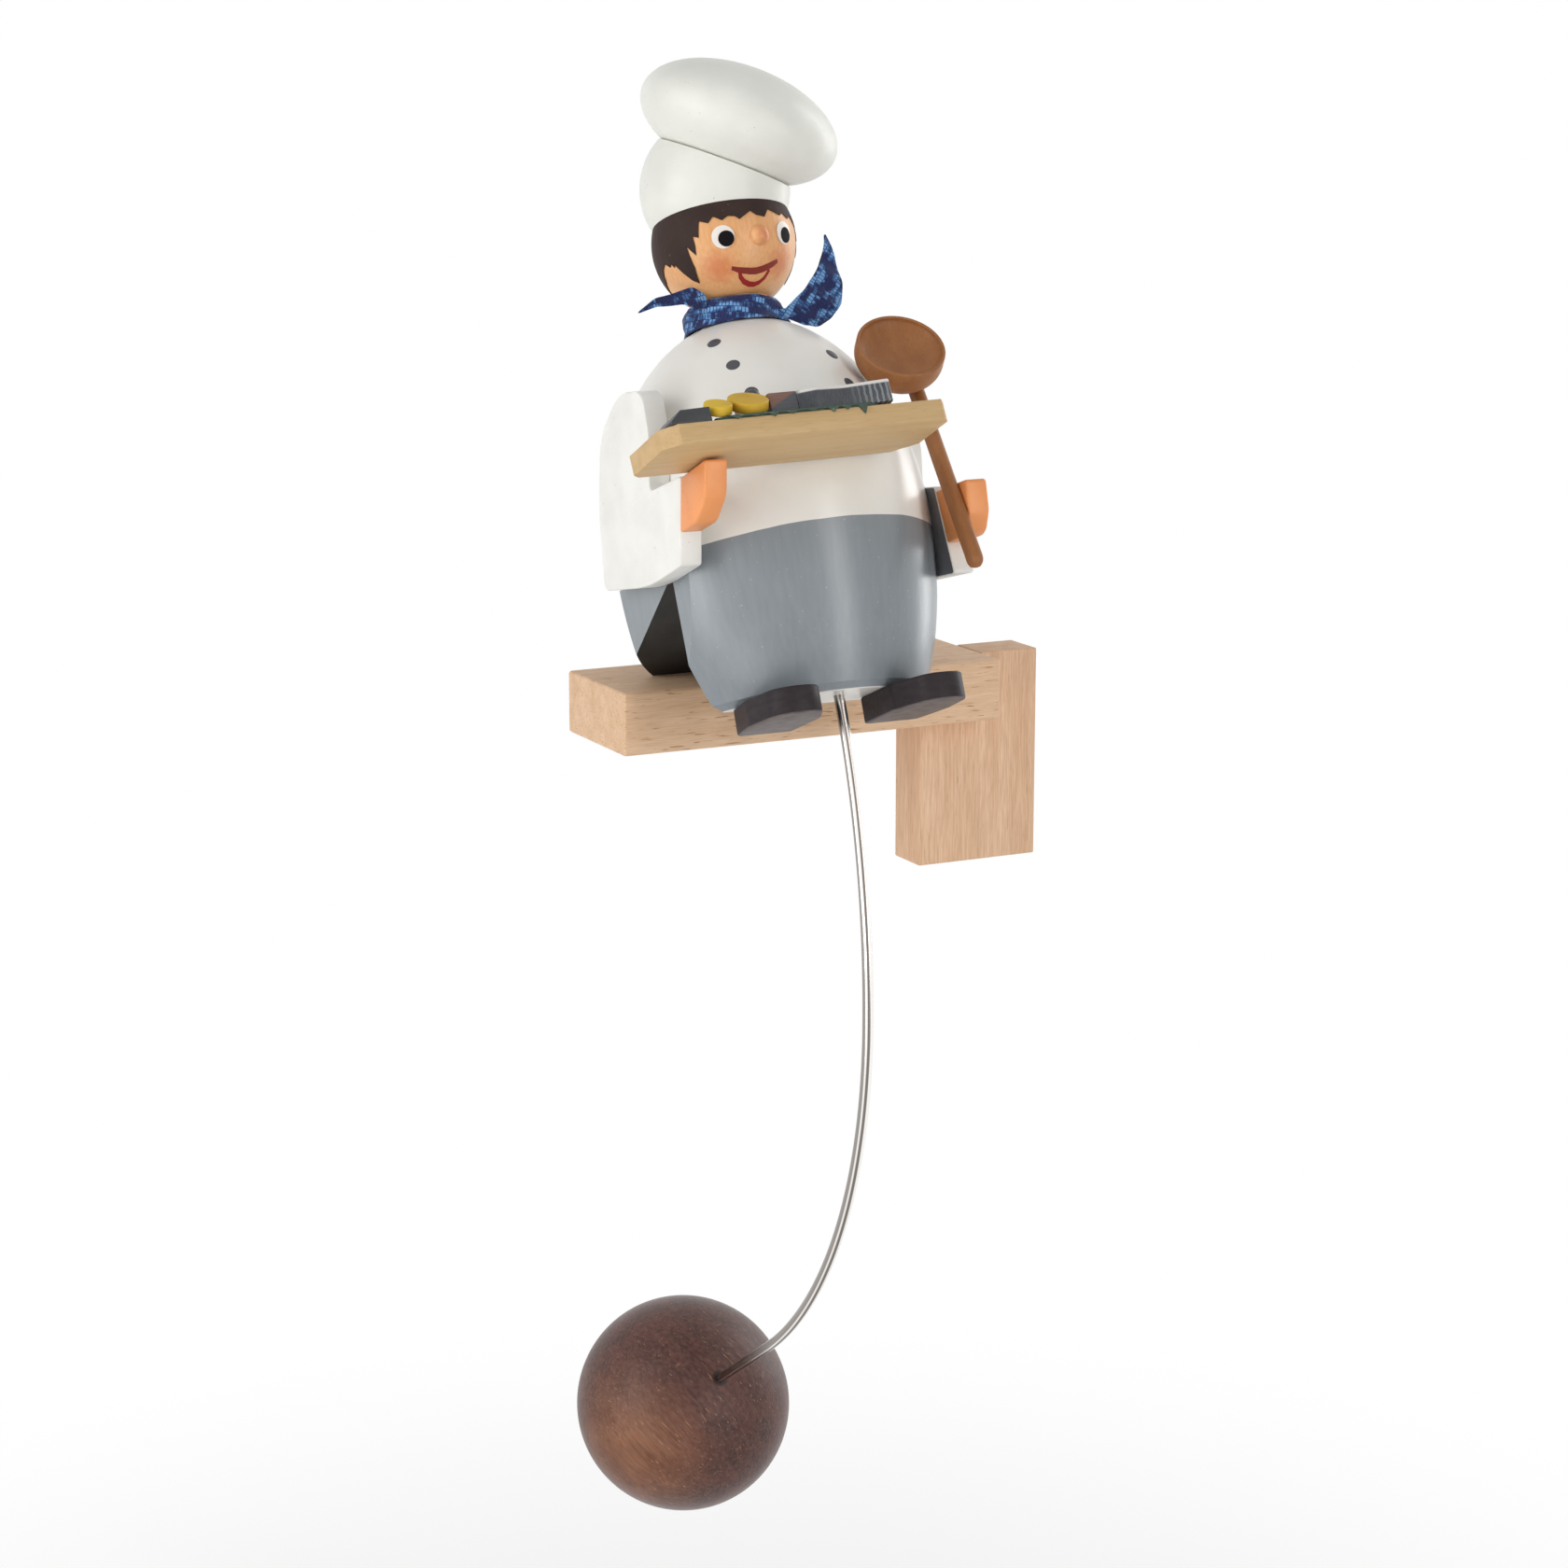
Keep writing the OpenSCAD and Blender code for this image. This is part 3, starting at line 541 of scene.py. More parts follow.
at_top = add(tree, "MapRange", up, fish_top - 0.9, fish_top - 0.6)
on_tail_piece = add(tree, "MapRange", along, 34.5, 36.0)
is_edge = add(tree, "Math", at_top, on_tail_piece, operation="MULTIPLY")
skin = add(tree, "Mix", is_edge, skin, "#dcd8d4", data_type="RGBA")
paint(tree, shader, skin, scales, 0.06)

# %% [markdown]
# The fillet's brown flesh runs into the dark skin along a slant, which climbs from the
# fish's head towards its tail. The leaf is dark green with paler patches.

# %% Fillet and leaf
SKIN_FROM, SKIN_CLIMB = 28.0, 0.5
fillet_enamel, tree, shader, where = finish("fillet_enamel", TRAY, 0.5)
parts = add(tree, "SeparateXYZ", where)
along, up = parts.outputs["X"], parts.outputs["Z"]
fibres = pattern(tree, where, (2.5, 0.5, 0.4), 3.0, 0.3, 0.75)
fillet = add(tree, "Mix", fibres, "#7d5b4d", "#6a4a3d", data_type="RGBA")
slant = add(tree, "Math", along, -SKIN_CLIMB, up, operation="MULTIPLY_ADD")
start = TRAY_T - SKIN_FROM * SKIN_CLIMB
is_skin = add(tree, "MapRange", slant, start + 2.6, start + 2.2)
fillet = add(tree, "Mix", is_skin, fillet, "#45464b", data_type="RGBA")
paint(tree, shader, fillet, fibres, 0.06)

leaf_enamel, tree, shader, where = finish("salad_leaf_enamel", TRAY, 0.5)
patches = pattern(tree, where, (1.6, 1.6, 1.6), 3.0, 0.6, 0.74)
leaf = add(tree, "Mix", patches, "#21392a", "#6f7f58", data_type="RGBA")
paint(tree, shader, leaf, pattern(tree, where, (0.8, 0.8, 0.8), 2.0), 0.08)

# %% [markdown]
# The neckerchief is a ribbon woven in three blues. Thick weft threads make ribs across it,
# eight tenths of a millimetre apart, and the dyed warp shows on them as short dashes. A
# brick texture is just that: each brick is one dash on one rib. A slow noise says how
# strongly the warp was dyed, so that the dashes gather into light and dark patches. The
# pattern has to run round the neck, so there its length is an angle times a radius.


# %% Ribbon
RIB, DASH = 0.8, 1.5


def ribbon(name, radius, slope):
    """With a radius, the cloth runs round the neck. slope turns it, in degrees."""
    mat, tree, shader, where = finish(name, FIGURE, 0.8, gloss=0.2)
    parts = add(tree, "SeparateXYZ", where)
    u = parts.outputs["X"]
    if radius:
        forward = add(tree, "Math", parts.outputs["Y"], -1.0, operation="MULTIPLY")
        angle = add(tree, "Math", u, forward, operation="ARCTAN2")
        u = add(tree, "Math", angle, radius, operation="MULTIPLY")
    v = add(tree, "Math", parts.outputs["Z"], 93.0, operation="SUBTRACT")
    flat = add(tree, "CombineXYZ", u, v)
    cloth = add(tree, "Mapping", flat, None, (0, 0, math.radians(slope)))
    bricks = add(tree, "TexBrick", cloth, "#000000", "#ffffff", "#000000", 1.0, 0.1, 0.3, 0.0,
                 RIB, DASH, offset=0.5)
    between = bricks.outputs["Fac"]
    dash = add(tree, "RGBToBW", bricks)
    zones = pattern(tree, cloth, (5.0, 2.6, 2.6), 1.0)
    dyed = add(tree, "Math", dash, 0.16, zones, operation="MULTIPLY_ADD")
    middle = add(tree, "MapRange", dyed, 0.54, 0.59)
    blue = add(tree, "Mix", middle, "#262f5c", "#41699f", data_type="RGBA")
    pale = add(tree, "MapRange", dyed, 0.63, 0.68)
    blue = add(tree, "Mix", pale, blue, "#75a6dc", data_type="RGBA")
    shaded = add(tree, "Math", between, 0.8, operation="MULTIPLY")
    blue = add(tree, "Mix", shaded, blue, "#1f2650", data_type="RGBA")
    shader.inputs["Sheen Weight"].default_value = 0.2
    shader.inputs["Sheen Roughness"].default_value = 0.4
    paint(tree, shader, blue, add(tree, "Math", 1.0, between, operation="SUBTRACT"), 0.15)
    return mat


ribbon_round = ribbon("woven_ribbon_round_the_neck", 11.5, 12)
ribbon_left = ribbon("woven_ribbon_left_end", 0, -52)
ribbon_right = ribbon("woven_ribbon_right_end", 0, -14)
print("materials:", len(bpy.data.materials))

# %% [markdown]
# ## The torso
# It was turned as an egg whose two halves have different lengths, then sawn: two flats for
# the arms, and a notch across the back that sits on the perch. A flat is one straight cut,
# so bisect_plane makes it and edgeloop_fill closes it.

# %% The egg and its flats
TORSO_R, TORSO_H, WAIST = 37.7, 92.7, 42.0
DOME, HIP = 52.9, 67.6
FLAT_X, SOLE_RIM = 31.7, 1.6


def torso_radius(z):
    reach = DOME if z > WAIST else HIP
    return TORSO_R * math.sqrt(1 - ((z - WAIST) / reach) ** 2)


def saw_off(bm, place, outwards):
    """Takes away what lies beyond a plane and closes the cut."""
    cut = bmesh.ops.bisect_plane(bm, geom=bm.verts[:] + bm.edges[:] + bm.faces[:],
                                 plane_co=place, plane_no=outwards, clear_outer=True,
                                 dist=1e-4)
    rim = [e for e in cut["geom_cut"] if isinstance(e, bmesh.types.BMEdge)]
    bmesh.ops.edgeloop_fill(bm, edges=rim)


heights = [SOLE_RIM + (TORSO_H - SOLE_RIM) * i / 60 for i in range(61)]
torso = lathe([(0, 0), (torso_radius(0) - SOLE_RIM, 0)]
              + [(torso_radius(z), z) for z in heights] + [(0, TORSO_H)], 128)
for side in (-1, 1):
    saw_off(torso, (side * FLAT_X, 0, 0), (side, 0, 0))
print("from flat to flat, mm:", 2 * FLAT_X)

# %% [markdown]
# The notch has a steep wall in front, a slope that rises from the rocking edge to it, and
# behind the edge a seat. It is hollow, which a single plane can't cut, so a wedge-shaped
# board is taken away by a Boolean modifier, and the result is read back into a bmesh.

# %% The notch
APEX = (-10.2, 33.2)
WALL_LEAN, SEAT_LEAN = math.radians(3.2), math.radians(LEAN + 12)
BELOW, REACH = 5.0, 60.0
seat_end = (EDGE.y + REACH * math.cos(SEAT_LEAN), EDGE.z + REACH * math.sin(SEAT_LEAN))
wedge = board([
    (APEX[0] - (APEX[1] + BELOW) * math.tan(WALL_LEAN), -BELOW, 0), (*APEX, 0),
    (EDGE.y, EDGE.z, 0), (*seat_end, 0), (seat_end[0], -BELOW, 0)], 2 * REACH, 0.01)
wedge.transform(moved(-REACH, 0, 0) @ SIDEWAYS)
bmesh.ops.recalc_face_normals(torso, faces=torso.faces)
blank = into_scene("blank", torso)
cutter = into_scene("wedge", wedge)
notch = blank.modifiers.new("notch", "BOOLEAN")
notch.object = cutter
notch.operation = "DIFFERENCE"
notch.solver = "EXACT"
bpy.context.view_layer.update()
torso = bmesh.new()
torso.from_mesh(blank.evaluated_get(bpy.context.evaluated_depsgraph_get()).to_mesh())
bpy.data.objects.remove(blank)
bpy.data.objects.remove(cutter)
bmesh.ops.remove_doubles(torso, verts=torso.verts, dist=0.05)
bmesh.ops.recalc_face_normals(torso, faces=torso.faces)
print("torso after the notch:", len(torso.faces), "faces")

# %% [markdown]
# The notch's wall and slope are painted dark grey as painted shade inside the notch, while
# the seat is grey as the trousers are. The faces are told apart by where they lie, and get
# the torso's second material.

# %% Torso
slope = Vector((0, APEX[1] - EDGE.z, EDGE.y - APEX[0])).normalized()
for face in torso.faces:
    middle = face.calc_center_median()
    on_slope = abs((middle - EDGE).dot(slope)) < 0.05 and middle.y > APEX[0]
    on_wall = face.normal.y > 0.99 and middle.y < APEX[0] + 0.1 and middle.z < APEX[1]
    face.material_index = int(on_slope or on_wall)
piece("cook_torso", torso, FIGURE, torso_enamel, notch_shade, nodes=["torso"],
      slot="white_paint", sharp=24)

# %% [markdown]
# The coat's buttons are dots of thick grey paint. They could be a mask in the coat's paint,
# but thick paint catches the light, so each is a small flat dome, turned to stand square on
# the curved wood.

# %% Buttons
BUTTON_R = 1.75
BUTTONS = ((-14.3, -16.2, 85.4), (-14.1, -23.8, 77.9), (-13.3, -29.2, 69.8),
           (11.4, -24.4, 79.1), (12.0, -29.3, 70.7))
for number, (x, y, z) in enumerate(BUTTONS, start=1):
    around = math.degrees(math.atan2(x, -y))
    rise = torso_radius(z - 0.5) - torso_radius(z + 0.5)
    tip = 90 - math.degrees(math.atan(rise))
    r = torso_radius(z) - 0.25
    foot = (r * math.sin(math.radians(around)), -r * math.cos(math.radians(around)), z)
    dot = lathe(arc(0, 0, BUTTON_R, 0.5, 0, 90, 8) + [(0, 0)], 32)
    piece(f"button_{number}", dot,
          FIGURE @ moved(*foot) @ turned(0, 0, around) @ turned(tip), button_enamel,
          slot="olive_paint")

# %% [markdown]
# ## Head and face
# The head is a ball with a short neck, cut flat on top for the hat. The nose is a small
# round knob on it, of which half a ball shows. Both are turned, so both are lathes.

# %% Head and nose
RIM_Z, NECK_R = 119.4, 8.5
NOSE_R, NOSE_TURN, NOSE_DROP = 2.4, 4, 11
lid = math.degrees(math.asin((RIM_Z - HEAD.z) / HEAD_R))
neck = -math.degrees(math.acos(NECK_R / HEAD_R))
head = lathe([(0, RIM_Z)] + arc(0, HEAD.z, HEAD_R, HEAD_R, lid, neck, 60)
             + [(NECK_R, TORSO_H), (0, TORSO_H)], 128)
piece("cook_head", head, FIGURE @ moved(0, HEAD.y, 0), flesh_paint, nodes=["head"],
      slot="skin_paint", sharp=50)
nose = lathe([(0, 0)] + arc(0, 0, NOSE_R, NOSE_R, 0, 90, 12), 48)
nose_base = math.sqrt(HEAD_R ** 2 - NOSE_R ** 2) - 0.05
piece("cook_nose", nose, FIGURE @ Matrix.Translation(HEAD) @ turned(0, 0, NOSE_TURN)
      @ turned(90 + NOSE_DROP) @ moved(0, 0, nose_base), flesh_paint, nodes=["nose"],
      slot="skin_paint")

# %% [markdown]
# Everything painted on the head is a shell a tenth of a millimetre thick. A mask in the
# paint would do for a dot, but not for hair with pointed locks. An outline in degrees round
# the head is cut into small cells with bisect_plane, laid on the ball, and given its
# thickness by solidify.


# %% Painted shells
def dice(bm, size):
    """Cuts a flat mesh into cells, so that it can be bent."""
    bmesh.ops.triangulate(bm, faces=bm.faces[:])
    for axis in (0, 1):
        across = Vector((axis == 0, axis == 1, 0))
        reach = [v.co[axis] / size for v in bm.verts]
        for step in range(math.floor(min(reach)), math.ceil(max(reach)) + 1):
            bmesh.ops.bisect_plane(bm, geom=bm.verts[:] + bm.edges[:] + bm.faces[:],
                                   plane_co=across * step * size, plane_no=across, dist=1e-5)


def shell(name, points, lift, material):
    """A painted patch on the head, from an outline of (azimuth, elevation) in degrees."""
    bm = bmesh.new()
    bm.faces.new([bm.verts.new((a, e, 0)) for a, e in points])
    bm.normal_update()
    dice(bm, 4.0)
    for vert in bm.verts:
        vert.co = on_head(vert.co.x, vert.co.y, lift)
    bmesh.ops.remove_doubles(bm, verts=bm.verts, dist=1e-4)
    bmesh.ops.recalc_face_normals(bm, faces=bm.faces)
    bmesh.ops.solidify(bm, geom=bm.faces[:], thickness=-0.12)
    piece(name, bm, FIGURE, material, slot="shoe_paint", sharp=60)


def disc(azimuth, elevation, radius, steps=32):
    """A round outline on the head, radius in millimetres."""
    size = math.degrees(radius / HEAD_R)
    wide = size / math.cos(math.radians(elevation))
    return [(azimuth + wide * math.cos(t), elevation + size * math.sin(t))
            for t in (2 * math.pi * i / steps for i in range(steps))]


def stroke(points, half):
    """A brush stroke's outline: the line's points, and half its width at each of them."""
    left, right = [], []
    for i, (a, e) in enumerate(points):
        before, after = points[max(i - 1, 0)], points[min(i + 1, len(points) - 1)]
        along = Vector((after[0] - before[0], after[1] - before[1])).normalized()
        left.append((a - along.y * half[i], e + along.x * half[i]))
        right.append((a + along.y * half[i], e - along.x * half[i]))
    return left + right[::-1]


print("one degree on the head is", round(HEAD_R * math.pi / 180, 3), "mm")

# %% [markdown]
# The hair is one shell round the whole head. Its top follows the rim of the hat. Below, the
# fringe is a row of pointed locks, and a longer lock hangs at each temple. The left side
# repeats the right one, but it is combed further back.

# %% Hair
fringe = [(-31.6, 7.6), (-24.8, 3.3), (-20, 6.2), (-14.2, 5.2), (-10.9, 2.5), (-0.8, 8.8),
          (3.6, 5.3), (10.9, 3.8), (16, 10.5), (28.8, 6.4), (33, 9.5), (40, 5.5),
          (46, 9.4), (53, 5.6)]
temple = [(-36, 3.1), (-43.3, 6.4), (-45.6, -6.4), (-50.2, -4.3), (-50, -12), (-51.3, -19),
          (-57.7, -10), (-56.5, -28), (-59.5, -41), (-65, -37), (-70.7, -28.4), (-75.1, -20),
          (-77, -22), (-79, -18), (-82, -20), (-87, -15.4), (-95, -19), (-104, -27),
          (-114, -31), (-124, -36), (-130, -32), (-138, -37), (-147, -33), (-156, -38),
          (-165, -34), (-173, -38), (-180, -35)]
left_side = [(60 + (-a - 36) * 5 / 6, e) for a, e in temple]
crown_edge = [(180 - 10 * i, lid) for i in range(37)]
shell("painted_hair", temple[::-1] + fringe + left_side + crown_edge, 0.12, hair_enamel)

# %% [markdown]
# Each eye is a white disc with a smaller black one on it, which looks to the figure's left.
# The mouth is two strokes of a fine brush: a dark one for the upper lip, and a brighter,
# curved one that hangs from it.

# %% Eyes and mouth
for name, white, pupil in (("right", (-26.2, -9.7), (-23.9, -11.4)),
                           ("left", (31.0, -7.2), (32.6, -9.0))):
    shell(f"eye_white_{name}", disc(*white, 2.7), 0.1, eye_enamel)
    shell(f"pupil_{name}", disc(*pupil, 1.85), 0.2, pupil_enamel)
lip = [(-23, -35), (-17, -37.2), (-10.6, -38.4), (-4, -39.2), (2.3, -39.2), (9, -37.8),
       (15.3, -35.6), (21, -33), (26, -30.2)]
shell("upper_lip", stroke(lip, [1.5, 2.3, 2.6, 2.8, 2.9, 2.9, 2.8, 2.5, 1.6]), 0.1, lip_enamel)
smile = [(-15.5, -38.5), (-14.6, -43.5), (-10.5, -48), (-3.5, -50.7), (4, -51.1), (10.5, -49),
         (15.2, -45), (18.3, -38)]
shell("lower_lip", stroke(smile, [1.5, 2.2, 2.5, 2.5, 2.3, 2.0, 1.8, 1.5]), 0.12, smile_enamel)

# %% [markdown]
# ## The hat
# Its band is a slice of a ball: level below, slanted above. The puffed crown is a flattened
# ball with a flat underside, glued on the slanted face, so it leans forward over the left
# eye. The band is turned with a round top first, because only a saw can cut it aslant.

# %% Hat
BAND_R, BAND_Z, CROWN_GAP = 17.9, 127.0, 6.6
CROWN_LIFT, CROWN_R, CROWN_HALF = 16.9, 24.4, 13.2
BAND = FIGURE @ moved(0, HEAD.y, BAND_Z)
CROWN_TILT = turned(0, 32, -47.9)
start = math.degrees(math.asin((RIM_Z - BAND_Z) / BAND_R))
band = lathe([(0, RIM_Z - BAND_Z)] + arc(0, 0, BAND_R, BAND_R, start, 90, 70), 128)
slant = CROWN_TILT.to_3x3() @ Vector((0, 0, 1))
saw_off(band, slant * CROWN_GAP, slant)
piece("hat_band_turned", band, BAND, white_enamel, nodes=["hat_band"], slot="white_paint",
      sharp=28)
low_edge = CROWN_GAP - CROWN_LIFT
start = math.degrees(math.asin(low_edge / CROWN_HALF))
crown = lathe([(0, low_edge)] + arc(0, 0, CROWN_R, CROWN_HALF, start, 90, 70), 128)
piece("hat_crown_turned", crown, BAND @ CROWN_TILT @ moved(0, 0, CROWN_LIFT), white_enamel,
      nodes=["hat_crown"], slot="white_paint", sharp=50)

# %% [markdown]
# ## The neckerchief
# A ribbon about a centimetre wide is wound round the neck. A cloth simulation could drape
# it, but the folds of a ribbon so small are stiff, so it is a lathe of a loose S-shaped
# section, rumpled with two slow waves and pulled a little higher on the figure's right.

# %% Ribbon round the neck
RIBBON_T, HEM_Z = 0.35, 92.3
section = [(9.2, 98.0), (10.4, 98.9), (11.4, 98.4), (11.9, 97.3), (12.0, 96.2), (12.3, 95.1),
           (12.3, 94.0), (12.7, 93.0), (13.0, HEM_Z)]
scarf = lathe(section, 160)
for vert in scarf.verts:
    turn = math.atan2(vert.co.x, -vert.co.y)
    outwards = Vector((vert.co.x, vert.co.y, 0)).normalized()
    fold = 0.28 * math.sin(5 * turn + vert.co.z * 0.9) + 0.12 * math.sin(11 * turn)
    vert.co += outwards * fold
    right = 0.5 - 0.5 * math.sin(turn + 0.35)
    pull = (1 + (1.5 * right - 0.7) / 6) * (1 - right / 12)
    vert.co.z = HEM_Z + (vert.co.z - HEM_Z) * pull
bmesh.ops.solidify(scarf, geom=scarf.faces[:], thickness=RIBBON_T)
scarf_obj = piece("ribbon_round_neck", scarf, FIGURE, ribbon_round, nodes=["scarf_band"],
                  slot="ribbon")

# %% [markdown]
# The ribbon's two ends stand off from the neck. Each is an outline, seen from the front,
# cut into small cells, bent into a soft curl by a short formula, and thickened.


# %% Loose ends
def loose_end(name, corners, depth, curl, material, node):
    """curl says how far a point of the cloth stands back from its plane."""
    bm = bmesh.new()
    outline(bm, corners)
    dice(bm, 1.0)
    for vert in bm.verts:
        x, z = vert.co.x, vert.co.y
        vert.co = Vector((x, depth + curl(x, z), z))
    bmesh.ops.recalc_face_normals(bm, faces=bm.faces)
    print(name, "area", round(sum(f.calc_area() for f in bm.faces) * 1e-6, 6), "square metres")
    bmesh.ops.solidify(bm, geom=bm.faces[:], thickness=RIBBON_T)
    obj = piece(name, bm, FIGURE, material, nodes=[node], slot="ribbon")


loose_end(
    "ribbon_left_end",
    [(6.5, 93.2, 0.3), (9.4, 91.8, 0.5), (12.4, 90.3, 1.5), (16, 89.6, 3), (20.2, 91.8, 4),
     (24.4, 96, 4), (25.1, 101, 6), (24.2, 107, 8), (22.7, 113.2, 0.3), (20.8, 107.4, 6),
     (17.4, 102.4, 5), (13.8, 98.7, 5), (8.4, 94.6, 1), (6.5, 94.4, 0.3)],
    -10.9, lambda x, z: 0.01225 * (x - 14) ** 2 + 0.35 * math.sin(z * 0.8 + x * 0.5),
    ribbon_left, "scarf_tail_left")
loose_end(
    "ribbon_right_end",
    [(-9.6, 96.6, 0.3), (-9.8, 99.8, 1), (-12.8, 101.9, 2), (-18.4, 100.4, 5),
     (-22.8, 99.4, 5), (-28.7, 95.6, 0.3), (-22.4, 97.4, 4), (-15.9, 97.7, 3),
     (-13.1, 96.2, 1)],
    -7.2, lambda x, z: 0.4 * math.sin(x * 0.55) + 0.25 * (z - 98) * math.sin(x * 0.3),
    ribbon_right, "scarf_tail_right")

# %% [markdown]
# ## Arms and hands
# Four boards, sawn to outlines in the figure's side view. The arms are glued flat on the
# torso's sides, and the hands on the ends of the sleeves, so both outlines are built on the
# same two points of a cuff. The left arm's inner face is grey, a painted shade where the
# torso shades it.

# %% Arms and hands
ARM_T = 5.5
RIGHT_CUFF = ((-35.2, 50.2), (-27.2, 31.4))
LEFT_CUFF = ((-24.5, 46.2), (-26.9, 24.8))


def on_cuff(cuff, t, radius=0.0):
    (y0, z0), (y1, z1) = cuff
    return (y0 + (y1 - y0) * t, z0 + (z1 - z0) * t, radius)


def side_board(name, side, corners, node, slot, eased, material, *inside):
    """side is -1 on the figure's right, 1 on its left. inside is the inner face's material, a
    painted shade.
    """
    shift = FLAT_X if side > 0 else -FLAT_X - ARM_T
    bm = board(corners, ARM_T, eased)
    for face in bm.faces:
        face.material_index = len(inside) * (face.normal.z < -0.9)
    piece(name, bm, FIGURE @ moved(shift, 0, 0) @ SIDEWAYS, material, *inside, nodes=[node],
          slot=slot, sharp=40)


side_board("arm_right_board", -1, [
    (-21.8, 73.6, 4.5), (-9.5, 76.6, 14), (4.5, 70.5, 14), (12.2, 55, 40), (16.3, 36, 2),
    (-8, 31, 60), on_cuff(RIGHT_CUFF, 1, 0.8), on_cuff(RIGHT_CUFF, 0, 0.8),
    (-17.2, 51.2, 1.5), (-21.8, 63.5, 8)], "right_arm", "white_paint", 0.45, cuff_enamel)
side_board("arm_left_board", 1, [
    (-12.5, 69, 4.5), (-2, 72, 14), (10, 66.5, 14), (17.5, 52, 30), (19.5, 33.5, 2),
    (-4, 27.9, 60), on_cuff(LEFT_CUFF, 1, 0.8), on_cuff(LEFT_CUFF, 0, 0.8),
    (-9.8, 49.6, 1.5), (-12, 58, 8)], "left_arm", "white_paint", 0.45, cuff_enamel,
    inner_face_shade)
side_board("hand_right_board", -1, [
    on_cuff(RIGHT_CUFF, 0.02), on_cuff(RIGHT_CUFF, 0.63), (-39, 38.3, 5), (-46, 42.4, 6),
    (-49.3, 50.3, 0.8)], "right_hand", "skin_paint", 0.6, orange_enamel)
side_board("hand_left_board", 1, [
    on_cuff(LEFT_CUFF, 0.05), on_cuff(LEFT_CUFF, 0.65), (-35.4, 31.8, 3.5), (-38.8, 36.6, 4),
    (-39.8, 44, 1)], "left_hand", "skin_paint", 0.6, orange_enamel)

# %% [markdown]
# ## The tray and its fish
# The tray is a plain board whose four corners are sawn off, each by another amount.

# %% Tray
TRAY_W, TRAY_D, CLIP = 70.4, 22.0, 4.5
tray = board([
    (CLIP * 0.8, 0, 0), (TRAY_W - CLIP * 0.4, 0, 0), (TRAY_W, CLIP * 0.6, 0),
    (TRAY_W, TRAY_D - CLIP, 0), (TRAY_W - CLIP * 1.2, TRAY_D, 0), (CLIP * 0.4, TRAY_D, 0),
    (0, TRAY_D - CLIP * 0.4, 0), (0, CLIP * 0.8, 0)], TRAY_T, 0.25)
piece("tray_sawn", tray, TRAY, tray_wood, nodes=["tray_board"], slot="tray_wood")

# %% [markdown]
# On the tray lie small, painted pieces of wood: first a flat leaf with a toothed edge. A
# few of its teeth hang over the tray's front edge. They are a thin board that stands there.


# %% Leaf
def food(name, corners, lift, thick, material, node, slot, eased=0.25):
    piece(name, board(corners, thick, eased), TRAY @ moved(0, 0, TRAY_T + lift), material,
          nodes=[node], slot=slot, sharp=40)


leaf_front = [(13.2, 1.2, 0.5), (17, 0.4, 0.5), (22, 1, 0.5), (27, 0.2, 0.5), (32, 1.2, 0.5),
              (38, 0.1, 0.5), (43, 1, 0.5), (48, -0.2, 0.5), (53, 1.2, 0.5)]
leaf_back = [(54.5, 4, 1), (51, 14, 3), (37, 16, 6), (24, 15, 4), (14, 8, 3)]
food("leaf_painted", leaf_front + leaf_back, 0, LEAF_T, leaf_enamel, "salad_leaf",
     "leaf_paint", 0.12)
LEAF_TEETH = ((18, 0.3), (22.5, 0.1), (27, 0.5), (31.5, 0.3), (36.5, 0.1), (41.5, 0.8),
              (45, 0.5), (49, 1.9))
teeth = [(51.5, TRAY_T + 0.7, 0), (15, TRAY_T + 0.7, 0)]
for u, drop in LEAF_TEETH:
    teeth += [(u - 1.5, TRAY_T + 0.3, 0), (u, TRAY_T - drop, 0), (u + 1.0, TRAY_T + 0.3, 0)]
piece("leaf_teeth", board(teeth, 0.3, 0.08), TRAY @ moved(0, -0.05, 0) @ UPRIGHT, leaf_enamel,
      sharp=40)

# %% [markdown]
# The fish comes in three pieces. Fillet and tail are boards that lie flat on the leaf. The
# head is a low wedge near the tray's right end, so its outline is drawn from the front.

# %% Fish
food("fillet_painted", [(28.1, 3.2, 0), (35, 3.2, 0), (35, 14, 0), (24.5, 14, 0),
                        (24.5, 8.7, 0), (28.1, 8.7, 0)], LEAF_T, FISH_T, fillet_enamel,
     "fish_fillet", "fillet_paint")
food("fish_tail_painted", [
    (35, 3.2, 0), (39, 1.6, 2), (46, 2.2, 6), (57, 0.3, 0.8), (58.6, 8.5, 0.8),
    (57, 17, 0.8), (46, 13.6, 6), (39, 14.6, 2), (35, 14, 0)], LEAF_T, FISH_T, fish_skin,
     "fish_tail", "fish_paint")
piece("fish_head_painted",
      board([(2.2, 0, 0), (12, 0, 0), (12, 3.3, 0), (4.9, 3.1, 0), (2.2, 0.7, 0)], 9.8, 0.2),
      TRAY @ moved(0, 10, TRAY_T) @ UPRIGHT, fish_skin, nodes=["fish_head"],
      slot="fish_paint", sharp=40)

# %% [markdown]
# The lemon slices are turned discs, propped up so that they face forwards, and the olive
# is a ball with a flat underside, glued on the fillet.

